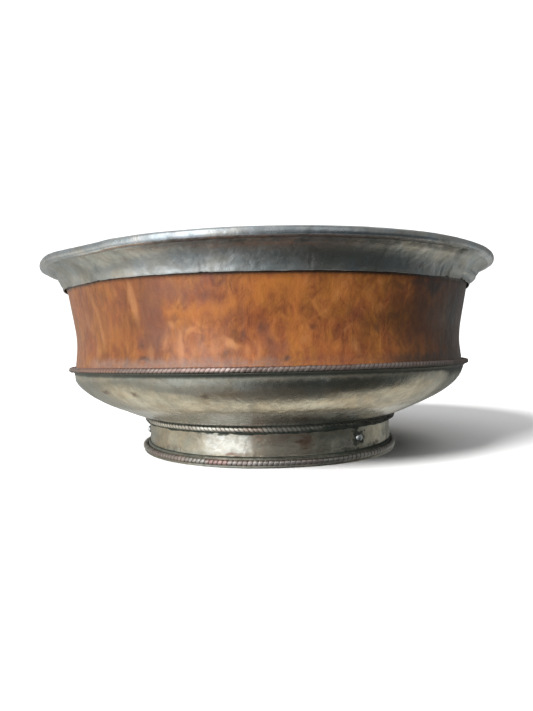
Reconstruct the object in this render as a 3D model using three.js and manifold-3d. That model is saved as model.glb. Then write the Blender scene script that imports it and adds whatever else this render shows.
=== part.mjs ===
// A silver-mounted turned wooden bowl, in millimetres, +Z up.
//
// The origin is on the surface that the foot stands on, on the bowl's axis. The side with the right-hand
// foot rivet at about 39 degrees faces -Y, which is the side that is usually looked at.
//
// The bowl is a turned burl body with a solid turned foot. A thin silver lining covers the inside, a flared
// collar covers the outside of the rim, and a lip ring closes the two over the wood's edge. Below the wood a
// silver cup clads the underside; its top edge is turned out into a ledge that carries a ring of twisted
// wire. The cup stands on a foot: a flange with a ring of twisted wire under it, a sleeve round the turned
// foot of the wood, held by three domed rivets, and a base ring with a third twisted wire. A plain plate
// closes the foot from below. Each twisted wire is two strands twisted and soldered to one closed ring, and
// is a plain ring here.

import * as THREE from "three";
import { mergeVertices } from "three/addons/utils/BufferGeometryUtils.js";
import Module from "manifold-3d";

const wasm = await Module();
wasm.setup();

// ---------------------------------------------------------------- driving dimensions, mm
const SEGMENTS = 48; // facets round the axis, the same on every turned piece

const SHEET = 0.7; // thickness of the silver sheet
const GAP = 0.1; // between pieces that are fitted together

const RIM_R = 70.15; // outer radius of the lip
const RIM_Z = 56.37; // overall height

const COLLAR_FOOT_R = 63.8; // the collar's raw lower edge, standing a little proud of the wood
const COLLAR_FOOT_Z = 48.0;

const SEAM_Z = 25.95; // top of the cup's turned-out ledge
const LEDGE_R = 62.75; // its edge
const LEDGE_T = 0.6;
const SEAM_WIRE_R = 62.8; // centre line of the twisted wire on the ledge
const SEAM_WIRE_D = 1.35;

const FLANGE_R = 41.25; // the foot's top flange
const FLANGE_TOP = 11.05;
const FLANGE_T = 0.55;
const TOP_WIRE_R = 40.2; // centre line of the twisted wire under the flange
const TOP_WIRE_D = 1.25;

const SLEEVE_R = 39.2; // outside of the foot's sleeve
const BASE_R = 41.1; // the base ring's standing edge
const BASE_TOP = 3.35; // where its sloping top meets the sleeve
const BASE_EDGE_T = 0.7;
const BASE_INNER_R = 37.4;
const BASE_WIRE_R = 40.75; // centre line of the twisted wire on the base ring
const BASE_WIRE_D = 1.4;

const STUB_R = SLEEVE_R - SHEET - 0.3; // the turned foot of the wood, inside the sleeve
const STUB_Z = 3.6; // its underside
const PLATE_T = 0.7; // the plate under it

const FLOOR_Z = 15.0; // the lining's floor on the axis

const RIVET_Z = 5.9; // height of the rivets on the foot
const RIVET_AT = [39, -82, 159]; // degrees from -Y towards +X
const RIVET_HEAD_R = 1.0;
const RIVET_HEAD_H = 0.72;
const RIVET_SHANK_R = 0.5;
const RIVET_SHANK_L = 3.4;
const RIVET_HOLE_R = 0.8;

// ---------------------------------------------------------------- profiles, [radius, height]

// Outside of the collar, upwards: an edge nearly upright, then a hollow flare.
const COLLAR = [
  [COLLAR_FOOT_R, COLLAR_FOOT_Z],
  [64.05, 49.1],
  [64.5, 50.2],
  [65.1, 51.25],
  [65.9, 52.2],
  [66.9, 53.05],
  [68.6, 54.1],
];

// The lip ring, counter-clockwise.
const LIP = [
  [68.75, 54.35],
  [69.6, 54.35],
  [70.05, 54.75],
  [RIM_R, 55.35],
  [70.0, 55.95],
  [69.45, 56.3],
  [68.75, RIM_Z],
  [68.0, 56.25],
  [67.32, 55.92],
  [67.74, 55.4],
  [68.1, 55.2],
  [68.75, 55.05],
];

// The wood between collar and seam, upwards.
const WOOD_SIDE = [
  [61.0, SEAM_Z + GAP],
  [60.72, 28.8],
  [60.44, 32.2],
  [60.57, 36.0],
  [61.16, 40.0],
  [61.88, 44.0],
  [62.57, 47.85],
];

// Outside of the silver cup, upwards from the foot to under the ledge.
const CUP = [
  [41.45, 11.15],
  [43.85, 12.0],
  [47.07, 13.4],
  [50.4, 14.95],
  [53.6, 16.6],
  [56.05, 18.15],
  [58.1, 19.75],
  [59.65, 21.35],
  [60.75, 23.1],
  [61.3, 24.6],
  [61.4, 25.35],
];

// The lining's inside surface, from the axis up to the lip.
const LINING = [
  [0, FLOOR_Z],
  [13, 15.05],
  [25, 15.5],
  [34, 16.35],
  [41.5, 17.8],
  [47.5, 20.0],
  [51.8, 22.8],
  [54.2, 26.0],
  [55.3, 29.5],
  [55.6, 33.0],
  [55.8, 37.0],
  [56.4, 41.0],
  [57.6, 45.0],
  [59.2, 48.0],
  [61.2, 50.5],
  [63.3, 52.6],
  [65.3, 54.35],
  [67.2, 55.8],
];

// ---------------------------------------------------------------- helpers

// The points moved sideways by d: to the right of their direction of travel if d > 0.
function offset(points, d) {
  return points.map(([r, z], i) => {
    const a = points[Math.max(0, i - 1)];
    const b = points[Math.min(points.length - 1, i + 1)];
    const dr = b[0] - a[0];
    const dz = b[1] - a[1];
    const l = Math.hypot(dr, dz);
    return [Math.max(0, r + (d * dz) / l), z - (d * dr) / l];
  });
}

// A solid of revolution about +Z. A profile that leaves the axis closes on itself.
function turned(profile, segments = SEGMENTS) {
  const onAxis = profile[0][0] === 0 && profile[profile.length - 1][0] === 0;
  let points = profile.slice();
  let area = 0;
  points.forEach(([r, z], i) => {
    const [r2, z2] = points[(i + 1) % points.length];
    area += r * z2 - r2 * z;
  });
  if (area < 0) points.reverse();
  if (!onAxis) points.push(points[0]);
  const g = new THREE.LatheGeometry(
    points.map(([r, z]) => new THREE.Vector2(r, z)),
    segments,
  );
  return g.rotateX(Math.PI / 2);
}

// A ring of round wire about +Z.
function wireRing(radius, height, diameter, sides = 8) {
  const section = [];
  for (let i = 0; i < sides; i++) {
    const t = ((i + 0.5) / sides) * 2 * Math.PI;
    section.push([
      radius + (diameter / 2) * Math.cos(t),
      height + (diameter / 2) * Math.sin(t),
    ]);
  }
  return turned(section);
}

function toSolid(geometry) {
  const bare = geometry.clone();
  bare.deleteAttribute("normal");
  bare.deleteAttribute("uv");
  const merged = mergeVertices(bare, 1e-4);
  return new wasm.Manifold(
    new wasm.Mesh({
      numProp: 3,
      vertProperties: new Float32Array(merged.attributes.position.array),
      triVerts: new Uint32Array(merged.index.array),
    }),
  );
}

function toGeometry(solid) {
  const mesh = solid.getMesh();
  const g = new THREE.BufferGeometry();
  g.setAttribute("position", new THREE.BufferAttribute(mesh.vertProperties, 3));
  g.setIndex(new THREE.BufferAttribute(mesh.triVerts, 1));
  g.computeVertexNormals();
  return g;
}

// A rivet's hole: a cylinder along the radius at the given angle, from r0 to r1.
function rivetHole(degrees, r0, r1) {
  const g = new THREE.CylinderGeometry(RIVET_HOLE_R, RIVET_HOLE_R, r1 - r0, 12);
  g.translate(0, (r0 + r1) / 2, 0); // along +Y
  g.rotateZ(Math.PI + THREE.MathUtils.degToRad(degrees)); // +Y to -Y, then round
  g.translate(0, 0, RIVET_Z);
  return g;
}

function withRivetHoles(geometry, r0, r1) {
  let solid = toSolid(geometry);
  for (const a of RIVET_AT) solid = solid.subtract(toSolid(rivetHole(a, r0, r1)));
  return toGeometry(solid);
}

const root = new THREE.Group();
root.name = "silver_mounted_wooden_bowl";

function add(parent, name, geometry, material) {
  const mesh = new THREE.Mesh(geometry, material);
  mesh.name = name;
  parent.add(mesh);
  return mesh;
}

const silver = (color, roughness) =>
  new THREE.MeshStandardMaterial({ color, roughness, metalness: 1.0 });

// ---------------------------------------------------------------- the wooden body
const body = new THREE.Group();
root.add(body);

const woodProfile = [
  [0, STUB_Z],
  [STUB_R, STUB_Z],
  [STUB_R, FLANGE_TOP + SHEET + 2 * GAP],
  ...offset(CUP, -(SHEET + GAP)).slice(1, -1),
  [60.5, SEAM_Z + GAP],
  ...WOOD_SIDE,
  ...offset(COLLAR, -(SHEET + GAP)).slice(1),
  ...offset(LINING, SHEET + GAP).slice(1).reverse(),
  [0, FLOOR_Z - SHEET - GAP],
];
add(
  body,
  "wood_bowl",
  withRivetHoles(turned(woodProfile), 35.4, 39.5),
  new THREE.MeshStandardMaterial({ color: 0x9c5426, roughness: 0.42 }),
);

// ---------------------------------------------------------------- the rim and the lining
const rim = new THREE.Group();
root.add(rim);

const liningOuter = offset(LINING, SHEET);
liningOuter[0] = [0, FLOOR_Z - SHEET];
add(
  rim,
  "silver_liner",
  turned([...liningOuter, ...LINING.slice().reverse()]),
  silver(0xa9a79f, 0.38),
);

add(
  rim,
  "rim_collar",
  turned([...COLLAR, ...offset(COLLAR, -SHEET).reverse()]),
  silver(0x7e8284, 0.4),
);

add(rim, "rim_lip", turned(LIP), silver(0x8d9295, 0.34));

// ---------------------------------------------------------------- the cup under the wood
const cupGroup = new THREE.Group();
root.add(cupGroup);

const cupInner = offset(CUP, -SHEET);
const cupProfile = [
  [38.7, CUP[0][1]],
  ...CUP,
  [LEDGE_R - 0.25, SEAM_Z - LEDGE_T],
  [LEDGE_R, SEAM_Z - LEDGE_T / 2],
  [LEDGE_R - 0.1, SEAM_Z],
  [60.7, SEAM_Z],
  ...cupInner.slice(1, -1).reverse(),
  [40.9, CUP[0][1] + SHEET],
  [38.7, CUP[0][1] + SHEET],
];
add(cupGroup, "lower_cup", turned(cupProfile), silver(0x9d9a8d, 0.36));

add(
  cupGroup,
  "seam_wire",
  wireRing(SEAM_WIRE_R, SEAM_Z + SEAM_WIRE_D / 2 + 0.05, SEAM_WIRE_D),
  silver(0x9b8378, 0.42),
);

// ---------------------------------------------------------------- the foot
const foot = new THREE.Group();
root.add(foot);

add(
  foot,
  "foot_flange",
  turned([
    [38.7, FLANGE_TOP - FLANGE_T],
    [FLANGE_R - 0.15, FLANGE_TOP - FLANGE_T],
    [FLANGE_R, FLANGE_TOP - FLANGE_T / 2],
    [FLANGE_R, FLANGE_TOP],
    [38.7, FLANGE_TOP],
  ]),
  silver(0x6f7265, 0.48),
);

const topWireZ = FLANGE_TOP - FLANGE_T - TOP_WIRE_D / 2 - 0.05;
add(
  foot,
  "foot_top_wire",
  wireRing(TOP_WIRE_R, topWireZ, TOP_WIRE_D),
  silver(0xa39c90, 0.38),
);

const sleeveTop = FLANGE_TOP - FLANGE_T - 0.05;
add(
  foot,
  "foot_sleeve",
  withRivetHoles(
    turned([
      [SLEEVE_R - SHEET, BASE_EDGE_T + 0.1],
      [SLEEVE_R, BASE_EDGE_T + 0.1],
      [SLEEVE_R, BASE_TOP],
      [SLEEVE_R - 0.12, (BASE_TOP + sleeveTop) / 2],
      [SLEEVE_R, sleeveTop],
      [SLEEVE_R - SHEET, sleeveTop],
    ]),
    37,
    41,
  ),
  silver(0x97958a, 0.38),
);

add(
  foot,
  "foot_base_ring",
  turned([
    [BASE_INNER_R, 0],
    [BASE_R - 0.12, 0],
    [BASE_R, 0.15],
    [BASE_R, BASE_EDGE_T],
    [BASE_WIRE_R - BASE_WIRE_D / 2 - 0.05, BASE_EDGE_T],
    [BASE_WIRE_R - BASE_WIRE_D / 2 - 0.05, 2.55],
    [SLEEVE_R + 0.1, BASE_TOP],
    [SLEEVE_R + 0.1, BASE_EDGE_T],
    [BASE_INNER_R, BASE_EDGE_T],
  ]),
  silver(0x85847a, 0.42),
);

add(
  foot,
  "foot_base_wire",
  wireRing(BASE_WIRE_R, BASE_EDGE_T + BASE_WIRE_D / 2 + 0.05, BASE_WIRE_D),
  silver(0x9d857b, 0.4),
);

add(
  foot,
  "base_plate",
  turned([
    [0, STUB_Z - GAP - PLATE_T],
    [STUB_R, STUB_Z - GAP - PLATE_T],
    [STUB_R, STUB_Z - GAP],
    [0, STUB_Z - GAP],
  ]),
  silver(0x8f8e85, 0.45),
);

const rivetProfile = [
  [0, -RIVET_SHANK_L],
  [RIVET_SHANK_R, -RIVET_SHANK_L],
  [RIVET_SHANK_R, 0],
  [RIVET_HEAD_R, 0],
  [RIVET_HEAD_R * 0.97, RIVET_HEAD_H * 0.35],
  [RIVET_HEAD_R * 0.76, RIVET_HEAD_H * 0.72],
  [RIVET_HEAD_R * 0.4, RIVET_HEAD_H * 0.95],
  [0, RIVET_HEAD_H],
];
RIVET_AT.forEach((degrees, i) => {
  const place = new THREE.Group();
  place.rotation.z = THREE.MathUtils.degToRad(degrees); // turns -Y towards +X
  foot.add(place);
  const rivet = add(
    place,
    `foot_rivet_${i + 1}`,
    turned(rivetProfile, 12),
    silver(0xa8a69d, 0.36),
  );
  rivet.position.set(0, -(SLEEVE_R + 0.08), RIVET_Z);
  rivet.rotation.x = Math.PI / 2; // +Z to -Y, outwards
});

export default root;
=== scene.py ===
import math

import bpy
import numpy as np
from mathutils import Matrix, Vector


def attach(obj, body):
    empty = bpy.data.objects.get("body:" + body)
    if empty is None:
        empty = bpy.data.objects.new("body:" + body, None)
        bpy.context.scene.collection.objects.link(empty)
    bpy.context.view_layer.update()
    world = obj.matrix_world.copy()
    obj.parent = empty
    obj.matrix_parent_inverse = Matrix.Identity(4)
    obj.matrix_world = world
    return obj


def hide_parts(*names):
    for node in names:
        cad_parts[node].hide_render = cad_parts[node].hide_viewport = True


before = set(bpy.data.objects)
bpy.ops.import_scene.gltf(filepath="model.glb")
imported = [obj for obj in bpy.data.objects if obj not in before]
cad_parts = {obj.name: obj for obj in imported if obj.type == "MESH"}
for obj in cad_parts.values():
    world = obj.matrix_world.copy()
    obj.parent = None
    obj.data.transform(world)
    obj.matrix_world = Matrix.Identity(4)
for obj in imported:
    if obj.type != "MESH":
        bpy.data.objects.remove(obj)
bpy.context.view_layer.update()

# A silver-mounted turned wooden bowl, studio lit. Lengths in this script are millimetres and are
# divided by 1000 where a mesh, lamp or camera is made. Angles round the bowl are measured from -Y,
# the side that is looked at, towards +X. Every piece is one of the solid model's nodes with its fine
# surface: hammer marks, worn edges, dents, twisted strands, solder and grain.

MM = 0.001
TAU = 2 * math.pi

# ---------------------------------------------------------------- sizes, the same as the solid model's
SHEET = 0.7
GAP = 0.1
RIM_Z = 56.37
SEAM_Z = 25.95
LEDGE_R = 62.35
LEDGE_T = 0.6
SEAM_WIRE_R = 62.25
SEAM_WIRE_D = 1.36
FLANGE_R = 41.25
FLANGE_TOP = 11.05
FLANGE_T = 0.34
TOP_WIRE_R = 40.3
TOP_WIRE_D = 1.5
SLEEVE_R = 39.2
BASE_R = 41.1
BASE_TOP = 3.35
BASE_SEAT = 2.62
BASE_EDGE_T = 0.7
BASE_INNER_R = 37.4
BASE_WIRE_R = 40.68
BASE_WIRE_D = 1.58
STUB_R = SLEEVE_R - SHEET - 0.3
STUB_Z = 3.6
FLOOR_Z = 15.0
RIVET_Z = 5.9
RIVET_AT = (39, -82, 159)

COLLAR = [(63.8, 48.0), (64.05, 49.1), (64.5, 50.2), (65.1, 51.25), (65.9, 52.2), (66.9, 53.05), (68.6, 54.1)]
# the lip's underside runs into the collar's flare
LIP = [(67.9, 54.05), (68.55, 54.02), (69.28, 54.12), (69.82, 54.34), (70.04, 54.72), (70.12, 55.2), (70.12, 55.7), (69.93, 56.06),
       (69.45, 56.29), (68.75, 56.37), (68.0, 56.25), (67.32, 55.92), (67.62, 55.45), (67.9, 54.9)]
WOOD_SIDE = [(61.0, 26.05), (60.72, 28.8), (60.44, 32.2), (60.57, 36.0), (61.16, 40.0), (61.88, 44.0), (62.57, 47.85)]
CUP = [(41.45, 11.15), (43.85, 12.0), (47.07, 13.4), (50.4, 14.95), (53.6, 16.6), (56.05, 18.15), (58.1, 19.75),
       (59.65, 21.35), (60.75, 23.1), (61.3, 24.6), (61.4, 25.35)]
LINING = [(0, 15.0), (13, 15.05), (25, 15.5), (34, 16.35), (41.5, 17.8), (47.5, 20.0), (51.8, 22.8), (54.2, 26.0),
          (55.3, 29.5), (55.6, 33.0), (55.8, 37.0), (56.4, 41.0), (57.6, 45.0), (59.2, 48.0), (61.2, 50.5),
          (63.3, 52.6), (65.3, 54.35), (67.2, 55.8)]


# ---------------------------------------------------------------- small helpers
def rng(seed):
    return np.random.default_rng(seed)


def smooth(x, lo, hi):
    """0 below lo, 1 above hi, smooth between; hi may be the lower one."""
    t = np.clip((np.asarray(x, float) - lo) / (hi - lo), 0, 1)
    return t * t * (3 - 2 * t)


def between(x, lo, hi, soft):
    """1 from lo to hi, fading out over soft on both sides."""
    return smooth(x, lo - soft, lo) * (1 - smooth(x, hi, hi + soft))


def turn(angle, at):
    """Angle difference in degrees, in -180..180."""
    return (np.degrees(angle) - at + 180) % 360 - 180


def ripple(th, s, seed, longest, shortest, radius=60.0, fall=1.0, terms=70):
    """A smooth random surface over the angle th and the length s (mm), about -1..1. It closes round the axis."""
    r = rng(seed)
    wave = longest * (shortest / longest) ** r.random(terms)
    way = r.uniform(0, TAU, terms)
    n = np.round(TAU * radius / wave * np.cos(way))
    k = TAU / wave * np.sin(way)
    a = (wave / longest) ** fall
    a /= math.sqrt((a * a).sum() / 2)
    p = r.uniform(0, TAU, terms)
    ks = np.outer(s, k) + p
    nt = np.outer(n, th)
    return 0.5 * ((a * np.cos(ks)) @ np.cos(nt) - (a * np.sin(ks)) @ np.sin(nt))


def bent(at, value, soft):
    """A smooth closed curve over the angle, through or near the values (mm) at the given degrees."""
    d = np.arange(-180, 180, 0.25)
    v = np.interp(d, at, value, period=360)
    w = int(4 * soft / 0.25)
    g = np.exp(-0.5 * (np.arange(-w, w + 1) * 0.25 / soft) ** 2)
    v = np.convolve(np.r_[v[-w:], v, v[:w]], g / g.sum(), "valid")
    return lambda th: np.interp(np.degrees(th), d, v, period=360)


def catmull(points, step):
    """A smooth curve through the points, sampled about every step mm."""
    p = np.array(points, float)
    p = np.vstack([2 * p[0] - p[1], p, 2 * p[-1] - p[-2]])
    out = []
    for i in range(1, len(p) - 2):
        p0, p1, p2, p3 = p[i - 1:i + 3]
        t0 = 0.0
        t1 = t0 + math.sqrt(np.linalg.norm(p1 - p0))
        t2 = t1 + math.sqrt(np.linalg.norm(p2 - p1))
        t3 = t2 + math.sqrt(np.linalg.norm(p3 - p2))
        n = max(2, int(math.ceil(np.linalg.norm(p2 - p1) / step)))
        t = np.linspace(t1, t2, n, endpoint=False)[:, None]
        a1 = (t1 - t) / (t1 - t0) * p0 + (t - t0) / (t1 - t0) * p1
        a2 = (t2 - t) / (t2 - t1) * p1 + (t - t1) / (t2 - t1) * p2
        a3 = (t3 - t) / (t3 - t2) * p2 + (t - t2) / (t3 - t2) * p3
        b1 = (t2 - t) / (t2 - t0) * a1 + (t - t0) / (t2 - t0) * a2
        b2 = (t3 - t) / (t3 - t1) * a2 + (t - t1) / (t3 - t1) * a3
        out.append((t2 - t) / (t2 - t1) * b1 + (t - t1) / (t2 - t1) * b2)
    out.append(p[-2][None])
    return np.vstack(out)


def aside(points, d):
    """The curve moved sideways by d, to the right of its direction if d > 0."""
    p = np.array(points, float)
    t = np.gradient(p, axis=0)
    t /= np.linalg.norm(t, axis=1)[:, None] + 1e-12
    q = p + d * np.stack([t[:, 1], -t[:, 0]], 1)
    q[:, 0] = np.maximum(q[:, 0], 0)
    return q


def evenly(path, step):
    d = np.r_[0, np.cumsum(np.linalg.norm(np.diff(path, axis=0), axis=1))]
    keep = np.r_[True, np.diff(d) > 1e-9]
    d, path = d[keep], path[keep]
    s = np.linspace(0, d[-1], max(3, int(d[-1] / step) + 1))
    return np.stack([np.interp(s, d, path[:, 0]), np.interp(s, d, path[:, 1])], 1)


def rounded(path, closed, radius, step=0.04):
    """Softens the corners of a profile. An open one starts and ends on the axis."""
    p = np.array(path, float)
    if closed:
        p = np.vstack([p, p[:1]])
    p = evenly(p, step)
    w = int(3 * radius / step)
    g = np.exp(-0.5 * (np.arange(-w, w + 1) * step / radius) ** 2)
    g /= g.sum()
    if closed:
        p = p[:-1]
        q = np.vstack([p[-w:], p, p[:w]])
    else:
        q = np.vstack([p[1:w + 1][::-1] * [-1, 1], p, p[-w - 1:-1][::-1] * [-1, 1]])
    out = np.stack([np.convolve(q[:, i], g, "valid") for i in (0, 1)], 1)
    if not closed:
        out[0, 0] = out[-1, 0] = 0
    return out


def thinned(path, closed, tolerance, longest):
    """Leaves out points of a dense profile, as long as the chords stay within tolerance and under longest(r, z)."""
    p = path if not closed else np.vstack([path, path[:1]])
    keep = [0]
    i = 0
    while i < len(p) - 1:
        j = i + 1
        while j < len(p) - 1:
            a, b = p[i], p[j + 1]
            ab = b - a
            length = np.linalg.norm(ab)
            if length > longest(*p[j]):
                break
            mid = p[i + 1:j + 1] - a
            off = np.abs(mid[:, 0] * ab[1] - mid[:, 1] * ab[0]) / (length + 1e-12)
            if off.max() > tolerance:
                break
            j += 1
        keep.append(j)
        i = j
    keep = np.array(keep[:-1] if closed else keep)
    return p[keep]


def mesh_object(name, co, faces, attrs=None):
    """A smooth-shaded mesh from points in mm, with its faces turned outwards."""
    me = bpy.data.meshes.new(name)
    co = np.asarray(co, float)
    quads = [f for f in faces if f.shape[1] == 4]
    tris = [f for f in faces if f.shape[1] == 3]
    total = 0.0
    for f in faces:
        for k in range(1, f.shape[1] - 1):
            a, b, c = co[f[:, 0]], co[f[:, k]], co[f[:, k + 1]]
            total += (np.cross(a, b) * c).sum()
    flip = total < 0
    lists = []
    for f in quads + tris:
        lists += (f[:, ::-1] if flip else f).tolist()
    me.from_pydata((co * MM).tolist(), [], lists)
    me.validate()
    me.shade_smooth()
    for key, value in (attrs or {}).items():
        a = me.attributes.new(key, "FLOAT", "POINT")
        a.data.foreach_set("value", np.asarray(value, np.float32).ravel())
    o = bpy.data.objects.new(name, me)
    bpy.context.scene.collection.objects.link(o)
    return o


class Turned:
    """A turned piece as a grid: a row for each point of its profile, a column for each step round the axis."""

    def __init__(self, name, path, closed, steps, rounding=0.12, tolerance=0.012, longest=None, phase=0.0):
        self.name = name
        self.closed = closed
        p = rounded(path, closed, rounding)
        p = thinned(p, closed, tolerance, longest or (lambda r, z: 0.5))
        self.r, self.z = p[:, 0], p[:, 1]
        self.th = np.linspace(-math.pi, math.pi, steps, endpoint=False) + phase
        q = np.vstack([p[-1:], p, p[:1]]) if closed else np.vstack([p[:1] * [-1, 1], p, p[-1:] * [-1, 1]])
        t = q[2:] - q[:-2]
        if not closed:
            t[0] = p[1] - p[0]
            t[-1] = p[-1] - p[-2]
        t /= np.linalg.norm(t, axis=1)[:, None] + 1e-12
        self.nr, self.nz = t[:, 1], -t[:, 0]
        area = (self.r * np.roll(self.z, -1) - np.roll(self.r, -1) * self.z).sum()
        if area < 0:
            self.nr, self.nz = -self.nr, -self.nz
        self.s = np.r_[0, np.cumsum(np.linalg.norm(np.diff(p, axis=0), axis=1))]
        self.out = np.zeros((len(p), steps))  # along the outward normal
        self.dr = np.zeros((len(p), steps))
        self.dz = np.zeros((len(p), steps))
        self.attrs = {}

    def grid(self):
        return self.th[None, :] + 0 * self.r[:, None], self.z[:, None] + 0 * self.th[None, :]

    def facing(self, outside=True):
        """1 on the profile's points that face out from the axis (or inwards), as a column."""
        return smooth(self.nr if outside else -self.nr, -0.2, 0.3)[:, None]

    def build(self):
        k, n = self.out.shape
        ends = not self.closed
        fade = np.clip(self.r / 3.0, 0, 1)[:, None] if ends else 1.0
        r = self.r[:, None] + self.nr[:, None] * self.out * fade + self.dr * fade
        z = self.z[:, None] + self.nz[:, None] * self.out * fade + self.dz * fade
        x, y = r * np.sin(self.th), -r * np.cos(self.th)
        co = np.stack([x, y, z + 0 * x], -1)
        j = np.arange(n)
        j2 = (j + 1) % n
        if ends:
            pole0, pole1 = co[0, 0].copy(), co[-1, 0].copy()
            pole0[:2] = pole1[:2] = 0
            rows = co[1:-1].reshape(-1, 3)
            m = k - 2
            pts = np.vstack([rows, pole0, pole1])
            i = np.arange(m - 1)[:, None]
            quads = np.stack([i * n + j, i * n + j2, (i + 1) * n + j2, (i + 1) * n + j], -1).reshape(-1, 4)
            a, b = m * n, m * n + 1
            top = np.stack([j2, j, np.full(n, a)], -1)
            end = np.stack([(m - 1) * n + j, (m - 1) * n + j2, np.full(n, b)], -1)
            faces = [quads, top, end]
            attrs = {}
            for key, v in self.attrs.items():
                v = np.broadcast_to(v, (k, n))
                attrs[key] = np.r_[v[1:-1].ravel(), v[0].mean(), v[-1].mean()]
        else:
            pts = co.reshape(-1, 3)
            i = np.arange(k)[:, None]
            i2 = (i + 1) % k
            quads = np.stack([i * n + j, i * n + j2, i2 * n + j2, i2 * n + j], -1).reshape(-1, 4)
            faces = [quads]
            attrs = {key: np.broadcast_to(v, (k, n)).ravel() for key, v in self.attrs.items()}
        return mesh_object(self.name, pts, faces, attrs)


def spot(th, z, radius, at, height, half_w, half_h, lean=0.0, soft=0.5, rag=None):
    """1 inside an ellipse on a wall at the angle at (degrees) and height, fading over its edge. lean turns it, in
    degrees, the top towards -X. rag is a ragged-edge field."""
    x = np.radians(turn(th, at)) * radius
    y = z - height
    c, s = math.cos(math.radians(lean)), math.sin(math.radians(lean))
    u, v = x * c + y * s, -x * s + y * c
    d = np.sqrt((u / half_w) ** 2 + (v / half_h) ** 2)
    if rag is not None:
        d = d + rag
    return 1 - smooth(d, 1 - soft, 1 + soft)


def twisted_wire(name, radius, height, diameter, strokes, hand, starts=2, per_stroke=10, sides=18, depth=0.22, seed=0, press=None,
                 sink=None, rise=None, pace=None):
    """A tightly twisted wire soldered into a ring: rounded turns with narrow grooves between them. hand is 1 for strokes
    that rise to the right, -1 for strokes that fall. press(th) takes up to that much off the outside, where it is
    rubbed, sink(th) moves the wire towards the axis, rise(th) moves it up, and pace(th) is how tight the twist is, about 1."""
    r = rng(seed)
    n = strokes * per_stroke
    th = np.linspace(-math.pi, math.pi, n, endpoint=False)
    wob = ripple(th, np.array([0.0, 37.0, 71.0, 113.0]), seed + 5, 60, 5, radius, 0.8, 40)
    way = th
    if pace is not None:
        way = np.r_[0, np.cumsum(pace(th))[:-1]]
        way = way / pace(th).sum() * TAU - math.pi
    a = np.linspace(-math.pi, math.pi, sides, endpoint=False)
    # the pitch isn't quite even, and no two turns are quite alike
    x = (strokes * way + 0.5 * wob[2])[:, None] - hand * starts * a[None, :]
    turn_no = np.floor(x / TAU + 0.5).astype(int)
    u = 2 * (x / TAU - turn_no)
    crest = np.sqrt(1 - 0.95 * u * u)
    size = 1 + 0.05 * r.uniform(-1, 1, strokes + 8)[turn_no % strokes]
    rho = diameter / 2 * size * (1 - depth * (1 - crest)) * (1 + 0.03 * wob[3])[:, None]
    rad = radius + 0.06 * wob[0][:, None] + rho * np.cos(a)
    z = height + 0.04 * wob[1][:, None] + rho * np.sin(a)
    if press is not None:
        cap = radius + diameter / 2 + 0.06 * wob[0] - press(th)
        rad = rad - np.maximum(rad - cap[:, None], 0) * 0.8   # rubbed flat, but never quite
    if sink is not None:
        rad = rad - sink(th)[:, None]
    if rise is not None:
        z = z + rise(th)[:, None]
    co = np.stack([rad * np.sin(th)[:, None], -rad * np.cos(th)[:, None], z], -1).reshape(-1, 3)
    i = np.arange(n)[:, None]
    j = np.arange(sides)[None, :]
    i2, j2 = (i + 1) % n, (j + 1) % sides
    f = np.stack([i * sides + j, i2 * sides + j, i2 * sides + j2, i * sides + j2], -1).reshape(-1, 4)
    return mesh_object(name, co, [f], {"crest": crest.ravel()})


def bead(name, rc, zc, ar, az, steps=1100, sides=12, seed=0, rough=0.05, attrs=None):
    """A ring of solder whose section is an oval that changes round the ring: rc, zc, ar and az are functions of th."""
    th = np.linspace(-math.pi, math.pi, steps, endpoint=False)
    a = np.linspace(0, TAU, sides, endpoint=False)
    lump = ripple(th, a * 0.6, seed, 9, 1.2, 40, 0.6, 70).T * rough
    r = rc(th)[:, None] + (ar(th)[:, None] + lump) * np.cos(a)
    z = zc(th)[:, None] + (az(th)[:, None] + lump) * np.sin(a)
    co = np.stack([r * np.sin(th)[:, None], -r * np.cos(th)[:, None], z], -1).reshape(-1, 3)
    i = np.arange(steps)[:, None]
    j = np.arange(sides)[None, :]
    i2, j2 = (i + 1) % steps, (j + 1) % sides
    f = np.stack([i * sides + j, i2 * sides + j, i2 * sides + j2, i * sides + j2], -1).reshape(-1, 4)
    values = {k: np.repeat(v(th), sides) for k, v in (attrs or {}).items()}
    return mesh_object(name, co, [f], values)


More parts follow.
